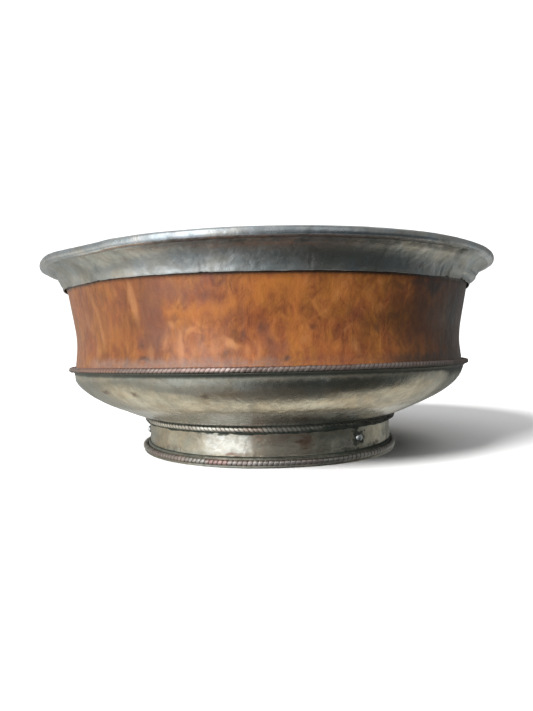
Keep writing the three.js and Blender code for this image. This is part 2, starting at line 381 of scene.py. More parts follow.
# ---------------------------------------------------------------- material helper
class Graph:
    """A node material, with its coordinates in millimetres."""

    def __init__(self, name):
        self.mat = bpy.data.materials.new(name)
        self.mat.use_nodes = True
        self.t = self.mat.node_tree
        self.t.nodes.clear()
        self.output = self.t.nodes.new("ShaderNodeOutputMaterial")
        self.shader = self.t.nodes.new("ShaderNodeBsdfPrincipled")
        self.t.links.new(self.shader.outputs[0], self.output.inputs[0])
        tc = self.t.nodes.new("ShaderNodeTexCoord")
        self.mm = self.vec("MULTIPLY", tc.outputs["Object"], (1000.0, 1000.0, 1000.0))

    def put(self, socket, value):
        if isinstance(value, bpy.types.NodeSocket):
            self.t.links.new(value, socket)
        elif socket.type == "RGBA":
            socket.default_value = (*value, 1.0) if len(value) == 3 else value
        else:
            socket.default_value = value

    def vec(self, op, a, b):
        n = self.t.nodes.new("ShaderNodeVectorMath")
        n.operation = op
        self.put(n.inputs[0], a)
        self.put(n.inputs[1], b)
        return n.outputs[0]

    def scaled(self, x, y, z, move=(0.0, 0.0, 0.0)):
        return self.vec("ADD", self.vec("MULTIPLY", self.mm, (x, y, z)), move)

    def noise(self, where, scale, detail=3.0, rough=0.5, distort=0.0, lac=2.0):
        n = self.t.nodes.new("ShaderNodeTexNoise")
        self.put(n.inputs["Vector"], where)
        n.inputs["Scale"].default_value = scale
        n.inputs["Detail"].default_value = detail
        n.inputs["Roughness"].default_value = rough
        n.inputs["Lacunarity"].default_value = lac
        n.inputs["Distortion"].default_value = distort
        return n.outputs[0]

    def cells(self, where, scale, feature="F1", random=1.0):
        n = self.t.nodes.new("ShaderNodeTexVoronoi")
        n.feature = feature
        self.put(n.inputs["Vector"], where)
        n.inputs["Scale"].default_value = scale
        n.inputs["Randomness"].default_value = random
        return n.outputs[0]

    def ramp(self, fac, stops):
        n = self.t.nodes.new("ShaderNodeValToRGB")
        self.put(n.inputs[0], fac)
        e = n.color_ramp.elements
        while len(e) < len(stops):
            e.new(0.5)
        for el, (pos, col) in zip(e, stops):
            el.position = pos
            el.color = (*col, 1.0) if len(col) == 3 else col
        return n.outputs[0]

    def mix(self, fac, a, b, kind="MIX"):
        n = self.t.nodes.new("ShaderNodeMix")
        n.data_type = "RGBA"
        n.blend_type = kind
        n.clamp_factor = True
        self.put(n.inputs[0], fac)
        self.put(n.inputs[6], a)
        self.put(n.inputs[7], b)
        return n.outputs[2]

    def math(self, op, a, b=0.0, c=0.0, clamp=False):
        n = self.t.nodes.new("ShaderNodeMath")
        n.operation = op
        n.use_clamp = clamp
        self.put(n.inputs[0], a)
        self.put(n.inputs[1], b)
        self.put(n.inputs[2], c)
        return n.outputs[0]

    def mul(self, a, b):
        return self.math("MULTIPLY", a, b)

    def add(self, a, b):
        return self.math("ADD", a, b)

    def step(self, v, lo, hi, a=0.0, b=1.0):
        n = self.t.nodes.new("ShaderNodeMapRange")
        n.interpolation_type = "SMOOTHSTEP"
        self.put(n.inputs[0], v)
        n.inputs[1].default_value = lo
        n.inputs[2].default_value = hi
        n.inputs[3].default_value = a
        n.inputs[4].default_value = b
        return n.outputs[0]

    def attr(self, name):
        n = self.t.nodes.new("ShaderNodeAttribute")
        n.attribute_type = "GEOMETRY"
        n.attribute_name = name
        return n.outputs["Fac"]

    def height(self):
        n = self.t.nodes.new("ShaderNodeSeparateXYZ")
        self.put(n.inputs[0], self.mm)
        return n.outputs[2]

    def bump(self, height, distance, strength=1.0, normal=None):
        """distance in mm"""
        n = self.t.nodes.new("ShaderNodeBump")
        n.inputs["Strength"].default_value = strength
        n.inputs["Distance"].default_value = distance * MM
        self.put(n.inputs["Height"], height)
        if normal is not None:
            self.put(n.inputs["Normal"], normal)
        return n.outputs[0]

    def set(self, **values):
        for k, v in values.items():
            self.put(self.shader.inputs[k.replace("_", " ")], v)


def silver(name, light, mid, dark, rough=(0.24, 0.46), move=(0.0, 0.0, 0.0), grime_and_shade=(0.034, 0.044, 0.038),
           stain=(0.30, 0.17, 0.11), brushed=0.0, scratch=0.5, mottle=1.0, pits=0.5, pale_and_highlight=(0.85, 0.84, 0.8)):
    """Old silver sheet: uneven tarnish, rubbed places, hair scratches, and dark patina with painted shade where the
    grime attribute says; where the pale attribute says, lighter rubbed places and painted highlights. Colours are
    linear."""
    g = Graph(name)
    at = g.scaled(1, 1, 1, move)
    big = g.noise(at, 0.085, 4.0, 0.6, 0.6)
    fine = g.noise(at, 0.42, 5.0, 0.65, 0.5)
    speck = g.noise(at, 2.2, 4.0, 0.65)
    tone = g.add(g.mul(big, 0.55), g.mul(fine, 0.45))
    base = g.ramp(tone, [(0.36, dark), (0.5, mid), (0.64, light)])
    # tarnish drifts between warm and cool
    hue = g.noise(g.scaled(1, 1, 1.6, (move[0] + 31, move[1] - 12, move[2] + 7)), 0.13, 3.0, 0.5, 0.8)
    tint = g.ramp(hue, [(0.36, (0.88, 0.96, 1.0)), (0.5, (1.0, 1.0, 1.0)), (0.64, (1.0, 0.94, 0.85))])
    base = g.mix(0.7 * mottle, base, tint, "MULTIPLY")
    # small dull spots and cloudy film
    spots = g.step(speck, 0.55, 0.75)
    base = g.mix(g.mul(spots, 0.25 * mottle), base, tuple(0.45 * c for c in mid))
    film_and_sheen = g.step(g.noise(g.scaled(1, 1, 1, (move[0] - 9, move[1] + 21, move[2] + 3)), 0.2, 5.0, 0.7, 1.2), 0.46, 0.7)
    base = g.mix(g.mul(film_and_sheen, 0.22 * mottle), base, tuple(0.6 * c for c in mid))
    # lighter where the pale attribute says: rubbed places, and painted highlights and reflections
    pale_and_highlight_at = g.math("MULTIPLY", g.attr("pale_and_highlight"), g.step(fine, 0.3, 0.6, 0.5, 1.0), clamp=True)
    base = g.mix(pale_and_highlight_at, base, pale_and_highlight)
    stain_at = g.math("MULTIPLY", g.attr("stain"), g.step(fine, 0.3, 0.62, 0.4, 1.0), clamp=True)
    base = g.mix(stain_at, base, stain)
    # darker where the grime attribute says: patina and dirt, and painted shade
    gr = g.attr("grime_and_shade")
    edge = g.add(gr, g.mul(g.math("SUBTRACT", g.noise(at, 0.7, 5.0, 0.68, 0.5), 0.5), 0.75))
    dirt_and_shade = g.mul(g.step(edge, 0.12, 0.95), g.step(gr, 0.0, 0.3))
    base = g.mix(g.mul(dirt_and_shade, 0.93), base, grime_and_shade)
    r = g.step(tone, 0.3, 0.7, rough[1], rough[0])
    r = g.add(r, g.mul(g.math("MAXIMUM", spots, film_and_sheen), 0.08))
    r = g.math("ADD", r, g.mul(dirt_and_shade, 0.22), clamp=True)
    # hair scratches in many directions, and a long-grained polish where it is brushed round the axis
    sc = None
    for i, (sx, sy, sz, amount) in enumerate(((0.16, 0.16, 5.5, 1.0), (3.4, 0.25, 1.6, 0.5), (0.25, 3.0, 2.2, 0.5))):
        w = g.scaled(sx, sy, sz, (move[0] + 9 * i, move[1] + 4 * i, move[2] + 3 * i))
        line = g.noise(w, 1.0, 2.0, 0.55, 0.35)
        line = g.mul(line, amount * (brushed if i == 0 else scratch))
        sc = line if sc is None else g.add(sc, line)
    n1 = g.bump(sc, 0.03, 1.0)
    soft = g.noise(at, 0.32, 3.0, 0.55, 0.4)
    n2 = g.bump(soft, 0.2 * pits, 1.0, n1)
    n3 = g.bump(g.mul(dirt_and_shade, g.noise(at, 3.2, 3.0, 0.7)), 0.08, 1.0, n2)
    metal = g.math("SUBTRACT", 1.0, g.mul(dirt_and_shade, 0.5), clamp=True)
    g.set(Base_Color=base, Metallic=metal, Roughness=r, Normal=n3)
    return g.mat


def wire_silver(name, light, mid, low, groove, copper, rough=(0.26, 0.44), move=(0.0, 0.0, 0.0), copper_share=0.5, furrow=0.5):
    """Twisted wire: darker in its grooves with tarnish and painted shade, so the crests stand out lighter, and through
    to copper in places.
    """
    g = Graph(name)
    at = g.scaled(1, 1, 1, move)
    big = g.noise(at, 0.11, 3.0, 0.6, 0.5)
    fine = g.noise(at, 0.9, 4.0, 0.65, 0.3)
    tone = g.add(g.mul(big, 0.5), g.mul(fine, 0.5))
    base = g.ramp(tone, [(0.36, low), (0.5, mid), (0.64, light)])
    where = g.noise(g.scaled(1, 1, 1, (move[0] + 50, move[1] + 3, move[2])), 0.16, 3.0, 0.6, 0.4)
    cu = g.math("MULTIPLY", g.step(where, 0.56 - 0.14 * copper_share, 0.66 - 0.14 * copper_share), 0.6 * copper_share, clamp=True)
    cu = g.math("MAXIMUM", cu, g.attr("stain"), clamp=True)
    base = g.mix(cu, base, copper)
    # the grooves between the turns are painted darker: painted shade with tarnish
    crest = g.attr("crest")
    deep = g.step(crest, 0.9, 0.35)
    base = g.mix(g.mul(deep, furrow), base, groove)
    # darker where the grime attribute says: dirt and patina, and painted shade
    gr = g.attr("grime_and_shade")
    edge = g.add(gr, g.mul(g.math("SUBTRACT", g.noise(at, 0.9, 5.0, 0.7, 0.6), 0.5), 0.6))
    dirt_and_shade = g.mul(g.step(edge, 0.1, 0.95), g.step(gr, 0.0, 0.3))
    base = g.mix(g.mul(dirt_and_shade, 0.85), base, (0.036, 0.042, 0.036))
    r = g.step(tone, 0.3, 0.7, rough[1], rough[0])
    r = g.math("ADD", r, g.mul(g.math("MAXIMUM", deep, dirt_and_shade), 0.2), clamp=True)
    n = g.bump(g.noise(at, 2.8, 4.0, 0.7), 0.03, 1.0)
    metal = g.math("SUBTRACT", 1.0, g.mul(g.math("MAXIMUM", g.mul(deep, 0.4), dirt_and_shade), 0.5), clamp=True)
    g.set(Base_Color=base, Metallic=metal, Roughness=r, Normal=n)
    return g.mat


def burl(name):
    """Old burl: soft clouds of amber, red-brown and purple-brown, a few near-upright streaks, dirt against the mounts,
    waxed; painted shade over its sides and under the collar, and a painted sheen low on the front.
    """
    g = Graph(name)
    # figure, from broad clouds to fine grain
    cloud = g.noise(g.scaled(1, 1, 0.8), 0.12, 4.0, 0.55, 1.2)
    figure = g.noise(g.scaled(1, 1, 0.72, (7, 1, 4)), 0.27, 4.0, 0.55, 1.6)
    curl = g.noise(g.scaled(1, 1, 0.7, (12, 5, 3)), 0.75, 4.0, 0.58, 1.6)
    streak = g.noise(g.scaled(1.0, 1.0, 0.13, (1, 1, 1)), 0.7, 4.0, 0.55, 1.0)
    fine = g.noise(g.scaled(2.4, 2.4, 0.42, (5, 1, 2)), 1.0, 4.0, 0.6, 0.6)
    streaky = g.attr("streaky")
    a = g.add(g.add(g.mul(cloud, 0.36), g.mul(figure, 0.40)), g.add(g.mul(curl, 0.19), g.mul(fine, 0.05)))
    b = g.add(g.add(g.mul(cloud, 0.22), g.mul(figure, 0.22)), g.add(g.mul(streak, 0.42), g.mul(fine, 0.14)))
    mixn = g.t.nodes.new("ShaderNodeMix")
    mixn.data_type = "FLOAT"
    g.put(mixn.inputs[0], streaky)
    g.put(mixn.inputs[2], a)
    g.put(mixn.inputs[3], b)
    tone = mixn.outputs[0]
    base = g.ramp(tone, [(0.34, (0.090, 0.029, 0.012)), (0.42, (0.145, 0.046, 0.0165)), (0.49, (0.198, 0.067, 0.0205)),
                         (0.57, (0.26, 0.094, 0.0265)), (0.66, (0.34, 0.140, 0.044))])
    hue = g.noise(g.scaled(1, 1, 0.6, (40, 2, 9)), 0.15, 3.0, 0.6, 1.2)
    tint = g.ramp(hue, [(0.36, (0.97, 0.86, 0.98)), (0.5, (1.0, 1.0, 1.0)), (0.64, (0.98, 1.05, 0.86))])
    base = g.mix(0.9, base, tint, "MULTIPLY")
    rag = g.noise(g.scaled(1, 1, 0.55, (3, 8, 1)), 0.8, 4.0, 0.6, 1.0)

    def paint(key, colour, share, below, hold=0.3):
        v = g.attr(key)
        amount = g.mul(v, g.step(g.add(v, g.mul(g.math("SUBTRACT", rag, 0.5), 1.0)), 0.0, 0.7, hold, 1.0))
        return g.mix(g.mul(amount, share), below, colour)

    base = paint("amber", (0.315, 0.112, 0.023), 0.72, base)
    base = paint("red", (0.19, 0.050, 0.016), 0.7, base)
    base = paint("purple", (0.128, 0.048, 0.032), 0.75, base)
    base = paint("tan", (0.385, 0.175, 0.070), 0.8, base)
    # a painted pinkish sheen, low on the front
    base = paint("film_and_sheen", (0.27, 0.135, 0.098), 0.7, base)
    # painted shade: darker over the left and the right and in placed marks, with darker patches round the back
    base = paint("shade", (0.038, 0.020, 0.012), 0.85, base, 0.55)
    # dark figure, and painted shade in the large dark marks on the right
    base = paint("dark", (0.026, 0.0165, 0.0145), 0.85, base, 0.5)
    # pores and short dark flecks along the grain
    pore = g.step(g.noise(g.scaled(4.2, 4.2, 0.9, (2, 2, 2)), 1.0, 2.0, 0.6), 0.62, 0.78)
    base = g.mix(g.mul(pore, 0.22), base, (0.05, 0.018, 0.009))
    # grey wax and dust against the lower mount, and old dirt with painted shade under the collar's edge and low on the
    # right
    pale_and_highlight = g.mul(g.attr("pale_and_highlight"), g.step(g.noise(g.scaled(1, 1, 1.5, (7, 7, 7)), 0.9, 4.0, 0.65), 0.25, 0.7, 0.35, 1.0))
    base = g.mix(g.mul(pale_and_highlight, 0.8), base, (0.190, 0.138, 0.120))
    soil_and_shade = g.attr("soil_and_shade")
    soil_and_shade_at = g.step(g.add(soil_and_shade, g.mul(g.math("SUBTRACT", rag, 0.5), 0.6)), 0.15, 0.95)
    base = g.mix(g.mul(soil_and_shade_at, 0.85), base, (0.030, 0.024, 0.020))
    gloss = g.noise(g.scaled(0.9, 0.9, 0.3, (9, 9, 9)), 0.8, 4.0, 0.6)
    r = g.step(gloss, 0.35, 0.65, 0.50, 0.36)
    h1 = g.add(g.mul(streak, 0.7), g.mul(fine, 0.3))
    n1 = g.bump(h1, 0.09, 1.0)
    n2 = g.bump(g.add(figure, g.mul(pore, -0.12)), 0.14, 1.0, n1)
    g.set(Base_Color=base, Roughness=r, Normal=n2, Coat_Weight=0.35)
    g.shader.inputs["Coat Roughness"].default_value = 0.24
    g.shader.inputs["Coat IOR"].default_value = 1.5
    g.shader.inputs["Specular IOR Level"].default_value = 0.4
    return g.mat


# ---------------------------------------------------------------- shape of the rim, shared by lip, collar and lining
# mm up, by degrees: the rim has an old knock on the left and is a little higher on both sides
RIM_AT = [-180, -130, -95, -80, -66, -60, -54, -51, -48, -45, -42, -39, -36, -33.5, -32, -30.5, -28, -22, -12, 0, 10, 20, 30, 40, 48, 54, 66, 80, 95, 140]
RIM_UP = [0.1, 0.3, 1.1, 1.2, 0.7, 0.7, 0.7, 0.55, 0.37, 0.12, -0.07, -0.14, -0.18, -0.14, 0.0, 0.14, 0.12, 0.13, 0.15, 0.2, 0.25, 0.33, 0.38, 0.36,
          0.3, 0.28, 0.3, 0.5, 0.5, 0.2]
rim_lift = bent(RIM_AT, RIM_UP, 0.9)
# the same for the collar's lower edge
foot_lift = bent([-180, -115, -85, -67, -50, -37, -30, -19, -10, 0, 25, 38, 53, 62, 80, 110],
                 [0.1, 0.7, 1.6, 1.3, 0.6, 0.6, 0.52, 0.3, 0.1, 0.0, 0.0, 0.15, 0.48, 0.6, 0.6, 0.3], 4.0)
foot_push = bent([-180, -130, -95, -70, -48, 30, 50, 66, 90, 130], [0.0, 0.0, 0.0, 0.1, 0.0, 0.0, -0.25, -0.3, -0.3, 0.0], 5.0)
# the flare is fuller low down on the right
waist_lift = bent([-180, -110, -80, -62, -48, 44, 60, 85, 115], [0.0, 0.1, 0.2, 0.15, 0.0, 0.0, -0.7, -0.75, 0.0], 5.0)
brow_lift = bent([-180, -130, -98, -66, -48], [0.0, 0.0, 0.75, 0.6, 0.0], 5.0)   # and hollow just under the lip on the left
waist_push = bent([-180, -112, -92, -64, -50, 44, 62, 92, 125], [0.0, 0.0, 0.3, 0.3, 0.0, 0.0, 0.5, 0.6, 0.0], 5.0)


def rim_sag(th):
    """How far the rim is bent up (mm) at each angle."""
    wave = ripple(th, np.zeros(1), 71, 220, 60, 70, 0.5, 24)[0] * 0.03
    small = ripple(th, np.zeros(1), 72, 40, 9, 70, 0.6, 40)[0] * 0.02
    return rim_lift(th) + wave + small


def rim_push(th):
    """How far the rim is pushed outwards (mm)."""
    a = (np.degrees(th) + 180) % 360 - 180
    wave = ripple(th, np.zeros(1), 73, 240, 70, 70, 0.5, 24)[0] * 0.04
    return wave - 0.10 * np.exp(-((a + 46.5) / 1.2) ** 2)


def bend_rim(piece, from_z=49.5, to_z=54.2, foot_z=47.6):
    w = smooth(piece.z, from_z, to_z)[:, None]
    low = smooth(piece.z, foot_z, foot_z + 0.7)[:, None] * (1 - w)
    piece.dz += w * rim_sag(piece.th) + low * foot_lift(piece.th)
    piece.dr += w * rim_push(piece.th) + low * foot_push(piece.th)
    piece.dz += between(piece.z, 50.6, 52.0, 1.2)[:, None] * waist_lift(piece.th)
    piece.dz += between(piece.z, 52.4, 53.5, 0.9)[:, None] * brow_lift(piece.th)
    piece.dr += between(piece.z, 49.9, 50.9, 0.9)[:, None] * waist_push(piece.th)


pieces = []


def place(piece, node, material):
    piece.data.materials.append(material)
    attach(piece, "root")
    if node:
        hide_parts(node)
    pieces.append(piece)
    return piece


# ---------------------------------------------------------------- materials
M_RIM = silver("rim_silver", (0.66, 0.66, 0.64), (0.53, 0.54, 0.52), (0.38, 0.39, 0.38), rough=(0.28, 0.42),
               move=(3, 1, 2), brushed=0.35, scratch=0.5, pits=0.9, stain=(0.22, 0.15, 0.12), pale_and_highlight=(0.86, 0.88, 0.88))
M_LIP = silver("lip_silver", (0.82, 0.84, 0.86), (0.70, 0.72, 0.74), (0.48, 0.50, 0.51), rough=(0.22, 0.34),
               move=(8, 3, 1), brushed=0.3, scratch=0.5, pits=0.6)
M_LINER = silver("lining_silver", (0.78, 0.76, 0.71), (0.66, 0.64, 0.58), (0.46, 0.43, 0.37), rough=(0.26, 0.42),
                 move=(1, 7, 5), brushed=0.2, scratch=0.6, pits=0.5)
# the cup's, the foot's and the base's warm tone is partly yellowed tarnish and partly a painted reflection of a warm
# table below
M_CUP = silver("cup_silver", (0.68, 0.64, 0.54), (0.57, 0.53, 0.44), (0.43, 0.40, 0.33), rough=(0.20, 0.31),
               move=(5, 5, 3), brushed=0.3, scratch=0.4, pits=0.55, stain=(0.20, 0.13, 0.10))
M_FOOT = silver("foot_silver", (0.70, 0.66, 0.54), (0.57, 0.53, 0.43), (0.38, 0.35, 0.28), rough=(0.24, 0.4),
                move=(2, 6, 9), brushed=0.8, scratch=0.35, pits=0.7, stain=(0.28, 0.165, 0.115))
M_BASE = silver("base_silver", (0.50, 0.47, 0.40), (0.36, 0.345, 0.29), (0.22, 0.215, 0.18), rough=(0.3, 0.46),
                move=(4, 2, 7), brushed=0.5, scratch=0.4, pits=0.8)
M_SOLDER = silver("old_solder", (0.30, 0.31, 0.25), (0.17, 0.18, 0.145), (0.09, 0.10, 0.085), rough=(0.36, 0.55),
                  move=(6, 9, 4), brushed=0.2, scratch=0.4, pits=1.0)
M_SEAM_WIRE = wire_silver("seam_wire_silver", (0.66, 0.55, 0.51), (0.50, 0.40, 0.37), (0.34, 0.26, 0.24),
                          (0.10, 0.08, 0.072), (0.66, 0.38, 0.30), move=(2, 2, 2), copper_share=0.4, furrow=0.72)
M_TOP_WIRE = wire_silver("foot_wire_silver", (0.95, 0.92, 0.83), (0.82, 0.77, 0.67), (0.52, 0.47, 0.40),
                         (0.09, 0.085, 0.07), (0.62, 0.44, 0.35), move=(7, 1, 5), copper_share=0.25, furrow=0.92)
M_BASE_WIRE = wire_silver("base_wire_silver", (0.74, 0.71, 0.66), (0.55, 0.52, 0.48), (0.36, 0.33, 0.30),
                          (0.075, 0.068, 0.06), (0.60, 0.36, 0.33), move=(3, 8, 6), copper_share=0.35, furrow=0.9)
M_WOOD = burl("burl_wood")

# ---------------------------------------------------------------- the wooden body
side = catmull(WOOD_SIDE, 0.3)
cup_curve = catmull(CUP, 0.3)
collar_curve = catmull(COLLAR, 0.25)
lining_curve = catmull(LINING, 0.4)
cup_inside = aside(cup_curve, -(SHEET + GAP))
wood_path = np.vstack([
    [(0, STUB_Z), (STUB_R, STUB_Z), (STUB_R, FLANGE_TOP + SHEET + 2 * GAP)],
    cup_inside[(cup_inside[:, 0] > STUB_R + 1) & (cup_inside[:, 1] < 25.2)],
    [(60.45, SEAM_Z + GAP)],
    side,
    aside(collar_curve, -(SHEET + GAP))[1:],
    aside(lining_curve, SHEET + GAP)[1:][::-1],
    [(0, FLOOR_Z - SHEET - GAP)],
])
wood = Turned("burl_body", wood_path, False, 980, rounding=0.1, tolerance=0.015,
              longest=lambda r, z: 0.36 if (r > 60.2 and 26 < z < 48.2) else 2.2)
th, z = wood.grid()
shown = between(wood.z, 26.3, 47.9, 0.6)[:, None] * (wood.nr > 0.5)[:, None]
R = 61.0
upright = ripple(wood.th, wood.z * 0.09, 11, 14, 1.6, R, 0.9, 90)  # long in z, short round the bowl
lumps = ripple(wood.th, wood.z, 12, 34, 7, R, 0.9, 60)
wood.out += shown * (0.028 * upright + 0.08 * lumps)
bend_rim(wood)
rag = ripple(wood.th, wood.z, 13, 7, 1.4, R, 0.4, 90) * 0.5
ragz = ripple(wood.th, wood.z * 0.25, 14, 7, 1.2, R, 0.4, 90) * 0.5


warp_x = ripple(wood.th, wood.z * 0.45, 16, 9, 1.8, R, 0.7, 90)
warp_z = ripple(wood.th, wood.z * 0.45, 17, 9, 1.8, R, 0.7, 90)


def wood_spots(items, soft=0.8, drift=1.0):
    """Soft marks on the wood, pulled out of shape by the figure. Overlapping ones add up."""
    v = np.zeros_like(th)
    for at, height, w, h, lean, strength in items:
        bend = drift * min(1.0, 0.35 + 0.3 * w)
        one = strength * spot(th + bend * warp_x / R, z + 1.2 * bend * warp_z, R, at, height, w, h, lean, soft, 0.35 * ragz)
        v = v + one - v * one
    return v


# marks placed on the side that is looked at, one list for each kind: the wood's figure, painted shade in the shade list
# and mixed into the dark one, and a painted sheen low on the front in the last list. Columns: angle, height, half
# width, half height, lean, strength
TAN = [(-31.1, 42.1, 0.9, 4.05, 5, 0.85), (-31.3, 46.1, 0.69, 1.91, 5, 0.5), (-45.4, 39.8, 0.8, 4.35, 12, 0.55),
       (-50.8, 39.1, 0.9, 3.17, 10, 0.45), (-46.1, 44.4, 0.75, 2.57, 8, 0.5), (-43.8, 34.1, 0.75, 2.54, 14, 0.4),
       (-57.3, 35.9, 1.33, 3.84, 6, 0.4), (-54.2, 31.2, 1.06, 2.42, 8, 0.4), (-46.4, 31.1, 1.12, 1.8, 5, 0.5),
       (-36.8, 46.1, 0.53, 1.71, 6, 0.35), (-21.8, 36.8, 1.06, 0.92, 0, 0.65), (-19.8, 32.3, 1.06, 3.2, 6, 0.7),
       (-23.5, 33.1, 0.69, 1.85, 0, 0.5), (-27.3, 30.6, 0.8, 1.88, 15, 0.55), (-17.2, 35.7, 1.54, 0.91, 0, 0.5),
       (-8.1, 32.3, 1.38, 1.11, 30, 0.9), (-9.6, 33.2, 0.9, 0.67, 20, 0.5), (-15, 31.1, 1.44, 2.03, 0, 0.4),
       (-11.6, 31.2, 1.22, 2.24, 0, 0.45), (-4.9, 30.8, 0.69, 2, 0, 0.5), (-2.2, 30.3, 0.64, 2, 0, 0.45),
       (-3.4, 32.2, 0.69, 1.11, 0, 0.3), (7.4, 33.3, 1.17, 1.11, 0, 0.4), (14.7, 43.2, 1.44, 1.35, 0, 0.4),
       (19.4, 31.2, 1.06, 1.83, 30, 0.5), (16.8, 35.4, 1.97, 0.68, 0, 0.35), (22.1, 44, 1.28, 1.38, 0, 0.3),
       (-4.8, 38, 0.69, 1.78, 0, 0.2), (-77, 44.3, 0.3, 4.34, 2, 0.4)]
# dark figure; its large marks on the right and under the collar are painted shade
DARK_FIGURE_AND_SHADE = [(-34.2, 27.8, 1.5, 1.9, 0, 0.55), (-29.3, 29.2, 1.54, 0.83, 0, 0.85), (-30, 33, 0.8, 1.19, 0, 0.5), (-13.4, 43.8, 0.59, 0.9, -20, 0.45),
        (-5.3, 34.9, 0.53, 0.78, 0, 0.5), (-0.8, 36.1, 0.9, 1.11, 0, 0.55), (-9, 30, 1.17, 0.89, 0, 0.6),
        (3.5, 29.1, 1.33, 0.78, 0, 0.75), (9.4, 36.1, 0.96, 0.78, 0, 0.6), (24.6, 34.9, 1.12, 1.39, 0, 0.55),
        (29.9, 38.6, 1.6, 0.95, 0, 0.55), (17.7, 41.2, 0.75, 1.82, 0, 0.3), (41.6, 45.6, 4.05, 1.5, 0, 0.95),
        (36.5, 46, 3.73, 0.73, 0, 0.6), (54.7, 39.1, 3.73, 6.48, 0, 0.7), (50.5, 31.8, 4.0, 2.9, 0, 0.55),
        (30.2, 45.9, 4.37, 0.59, 0, 0.4), (24.9, 38.1, 0.85, 0.7, 0, 0.35), (33.1, 40.8, 2.02, 1.92, 0, 0.35),
        (0.4, 33, 0.64, 0.89, 0, 0.35)]
RED = [(-35, 35.1, 2.56, 1.94, 0, 0.6), (-9.8, 35.5, 1.81, 1.34, 0, 0.5), (3.2, 41.8, 1.54, 1.78, 0, 0.3),
       (16.7, 39.4, 2.24, 2.04, 0, 0.35), (0.5, 39.2, 2.02, 1.11, 0, 0.45), (-14.5, 38.3, 3.83, 0.68, 0, 0.4),
       (-44.7, 44.3, 1.97, 3.06, 5, 0.4), (11.1, 32.7, 2.13, 2.24, 0, 0.4), (25.7, 32.5, 3.51, 1.63, 0, 0.4)]
PURPLE = [(-26.6, 40.2, 3.0, 8.4, 3, 1.0), (-21.5, 44.9, 4.2, 2.5, 0, 0.75), (-30.2, 33.7, 1.33, 2.14, 0, 0.75),
          (-13.4, 43.2, 0.9, 1.57, -20, 0.6), (-25.9, 34.8, 2.02, 3.73, 0, 0.55), (1.4, 31.8, 2.71, 2.66, -30, 0.75),
          (-5.3, 35.3, 1.12, 1.56, 0, 0.55), (-0.6, 35.7, 1.6, 1.77, 0, 0.75), (-4.3, 43.5, 0.9, 1.33, 0, 0.4),
          (-8.2, 30.5, 1.65, 1.56, 20, 0.5), (8.9, 39, 1.81, 2.01, 0, 0.25), (19.1, 38.3, 2.56, 3.19, 0, 0.4),
          (-12.7, 46.8, 4.1, 0.67, 0, 0.5), (-34.7, 44.7, 1.76, 2.9, 6, 0.5), (-5.7, 39.8, 0.9, 1.56, 0, 0.35),
          (3.6, 36.2, 1.38, 1.33, 0, 0.35), (-16.7, 44.2, 3.89, 1.36, 0, 0.4), (-51.2, 43.6, 2.08, 3.7, 4, 0.4)]
AMBER = [(0.6, 45.1, 5.64, 2.66, 0, 0.9), (6.1, 42.2, 1.76, 5.34, 0, 0.7), (-13.2, 40, 8.57, 1.8, 0, 0.7), (6.8, 32.8, 2.77, 2, 0, 0.7),
         (15.3, 43.9, 3.35, 2.03, 0, 0.7), (22.4, 42.9, 3.19, 2.3, 0, 0.45), (-37.5, 34.4, 4.79, 3.19, 5, 0.65),
         (18.5, 34.9, 3.03, 1.37, 0, 0.4), (-9.8, 42.1, 3.14, 1.34, 0, 0.5), (-22, 39.1, 2.66, 1.15, 0, 0.55),
         (4.7, 35.1, 2.08, 2.67, 0, 0.6), (13.3, 30.9, 3.35, 2.02, 0, 0.5), (-42.2, 37.9, 4.26, 5.03, 8, 0.4),
         (31.4, 31.2, 5.38, 2.15, 0, 0.35), (-3.5, 43, 2.61, 1.78, 0, 0.7)]
# painted shade over the right and near the bottom; the marks added round the back are darker patches
PAINTED_SHADE_AND_PATCHES = [(44, 46.6, 7.0, 2.0, 0, 0.75), (58, 46.0, 5.0, 2.6, 0, 0.75), (34.6, 37.3, 7.4, 8.71, 0, 0.55), (42.3, 36.9, 7.93, 9.05, 0, 0.8), (54.5, 37.7, 7.0, 10.1, 0, 0.95),
         (26.8, 38.4, 4.15, 3.28, 0, 0.4), (20.4, 37.2, 3.14, 3.2, 0, 0.3), (13.3, 38.3, 3.35, 2.25, 0, 0.2),
         (28.9, 44.2, 3.62, 2.36, 0, 0.35), (-27.3, 29.4, 3.62, 0.7, 0, 0.3), (3.5, 28.9, 3.14, 0.67, 0, 0.35)]
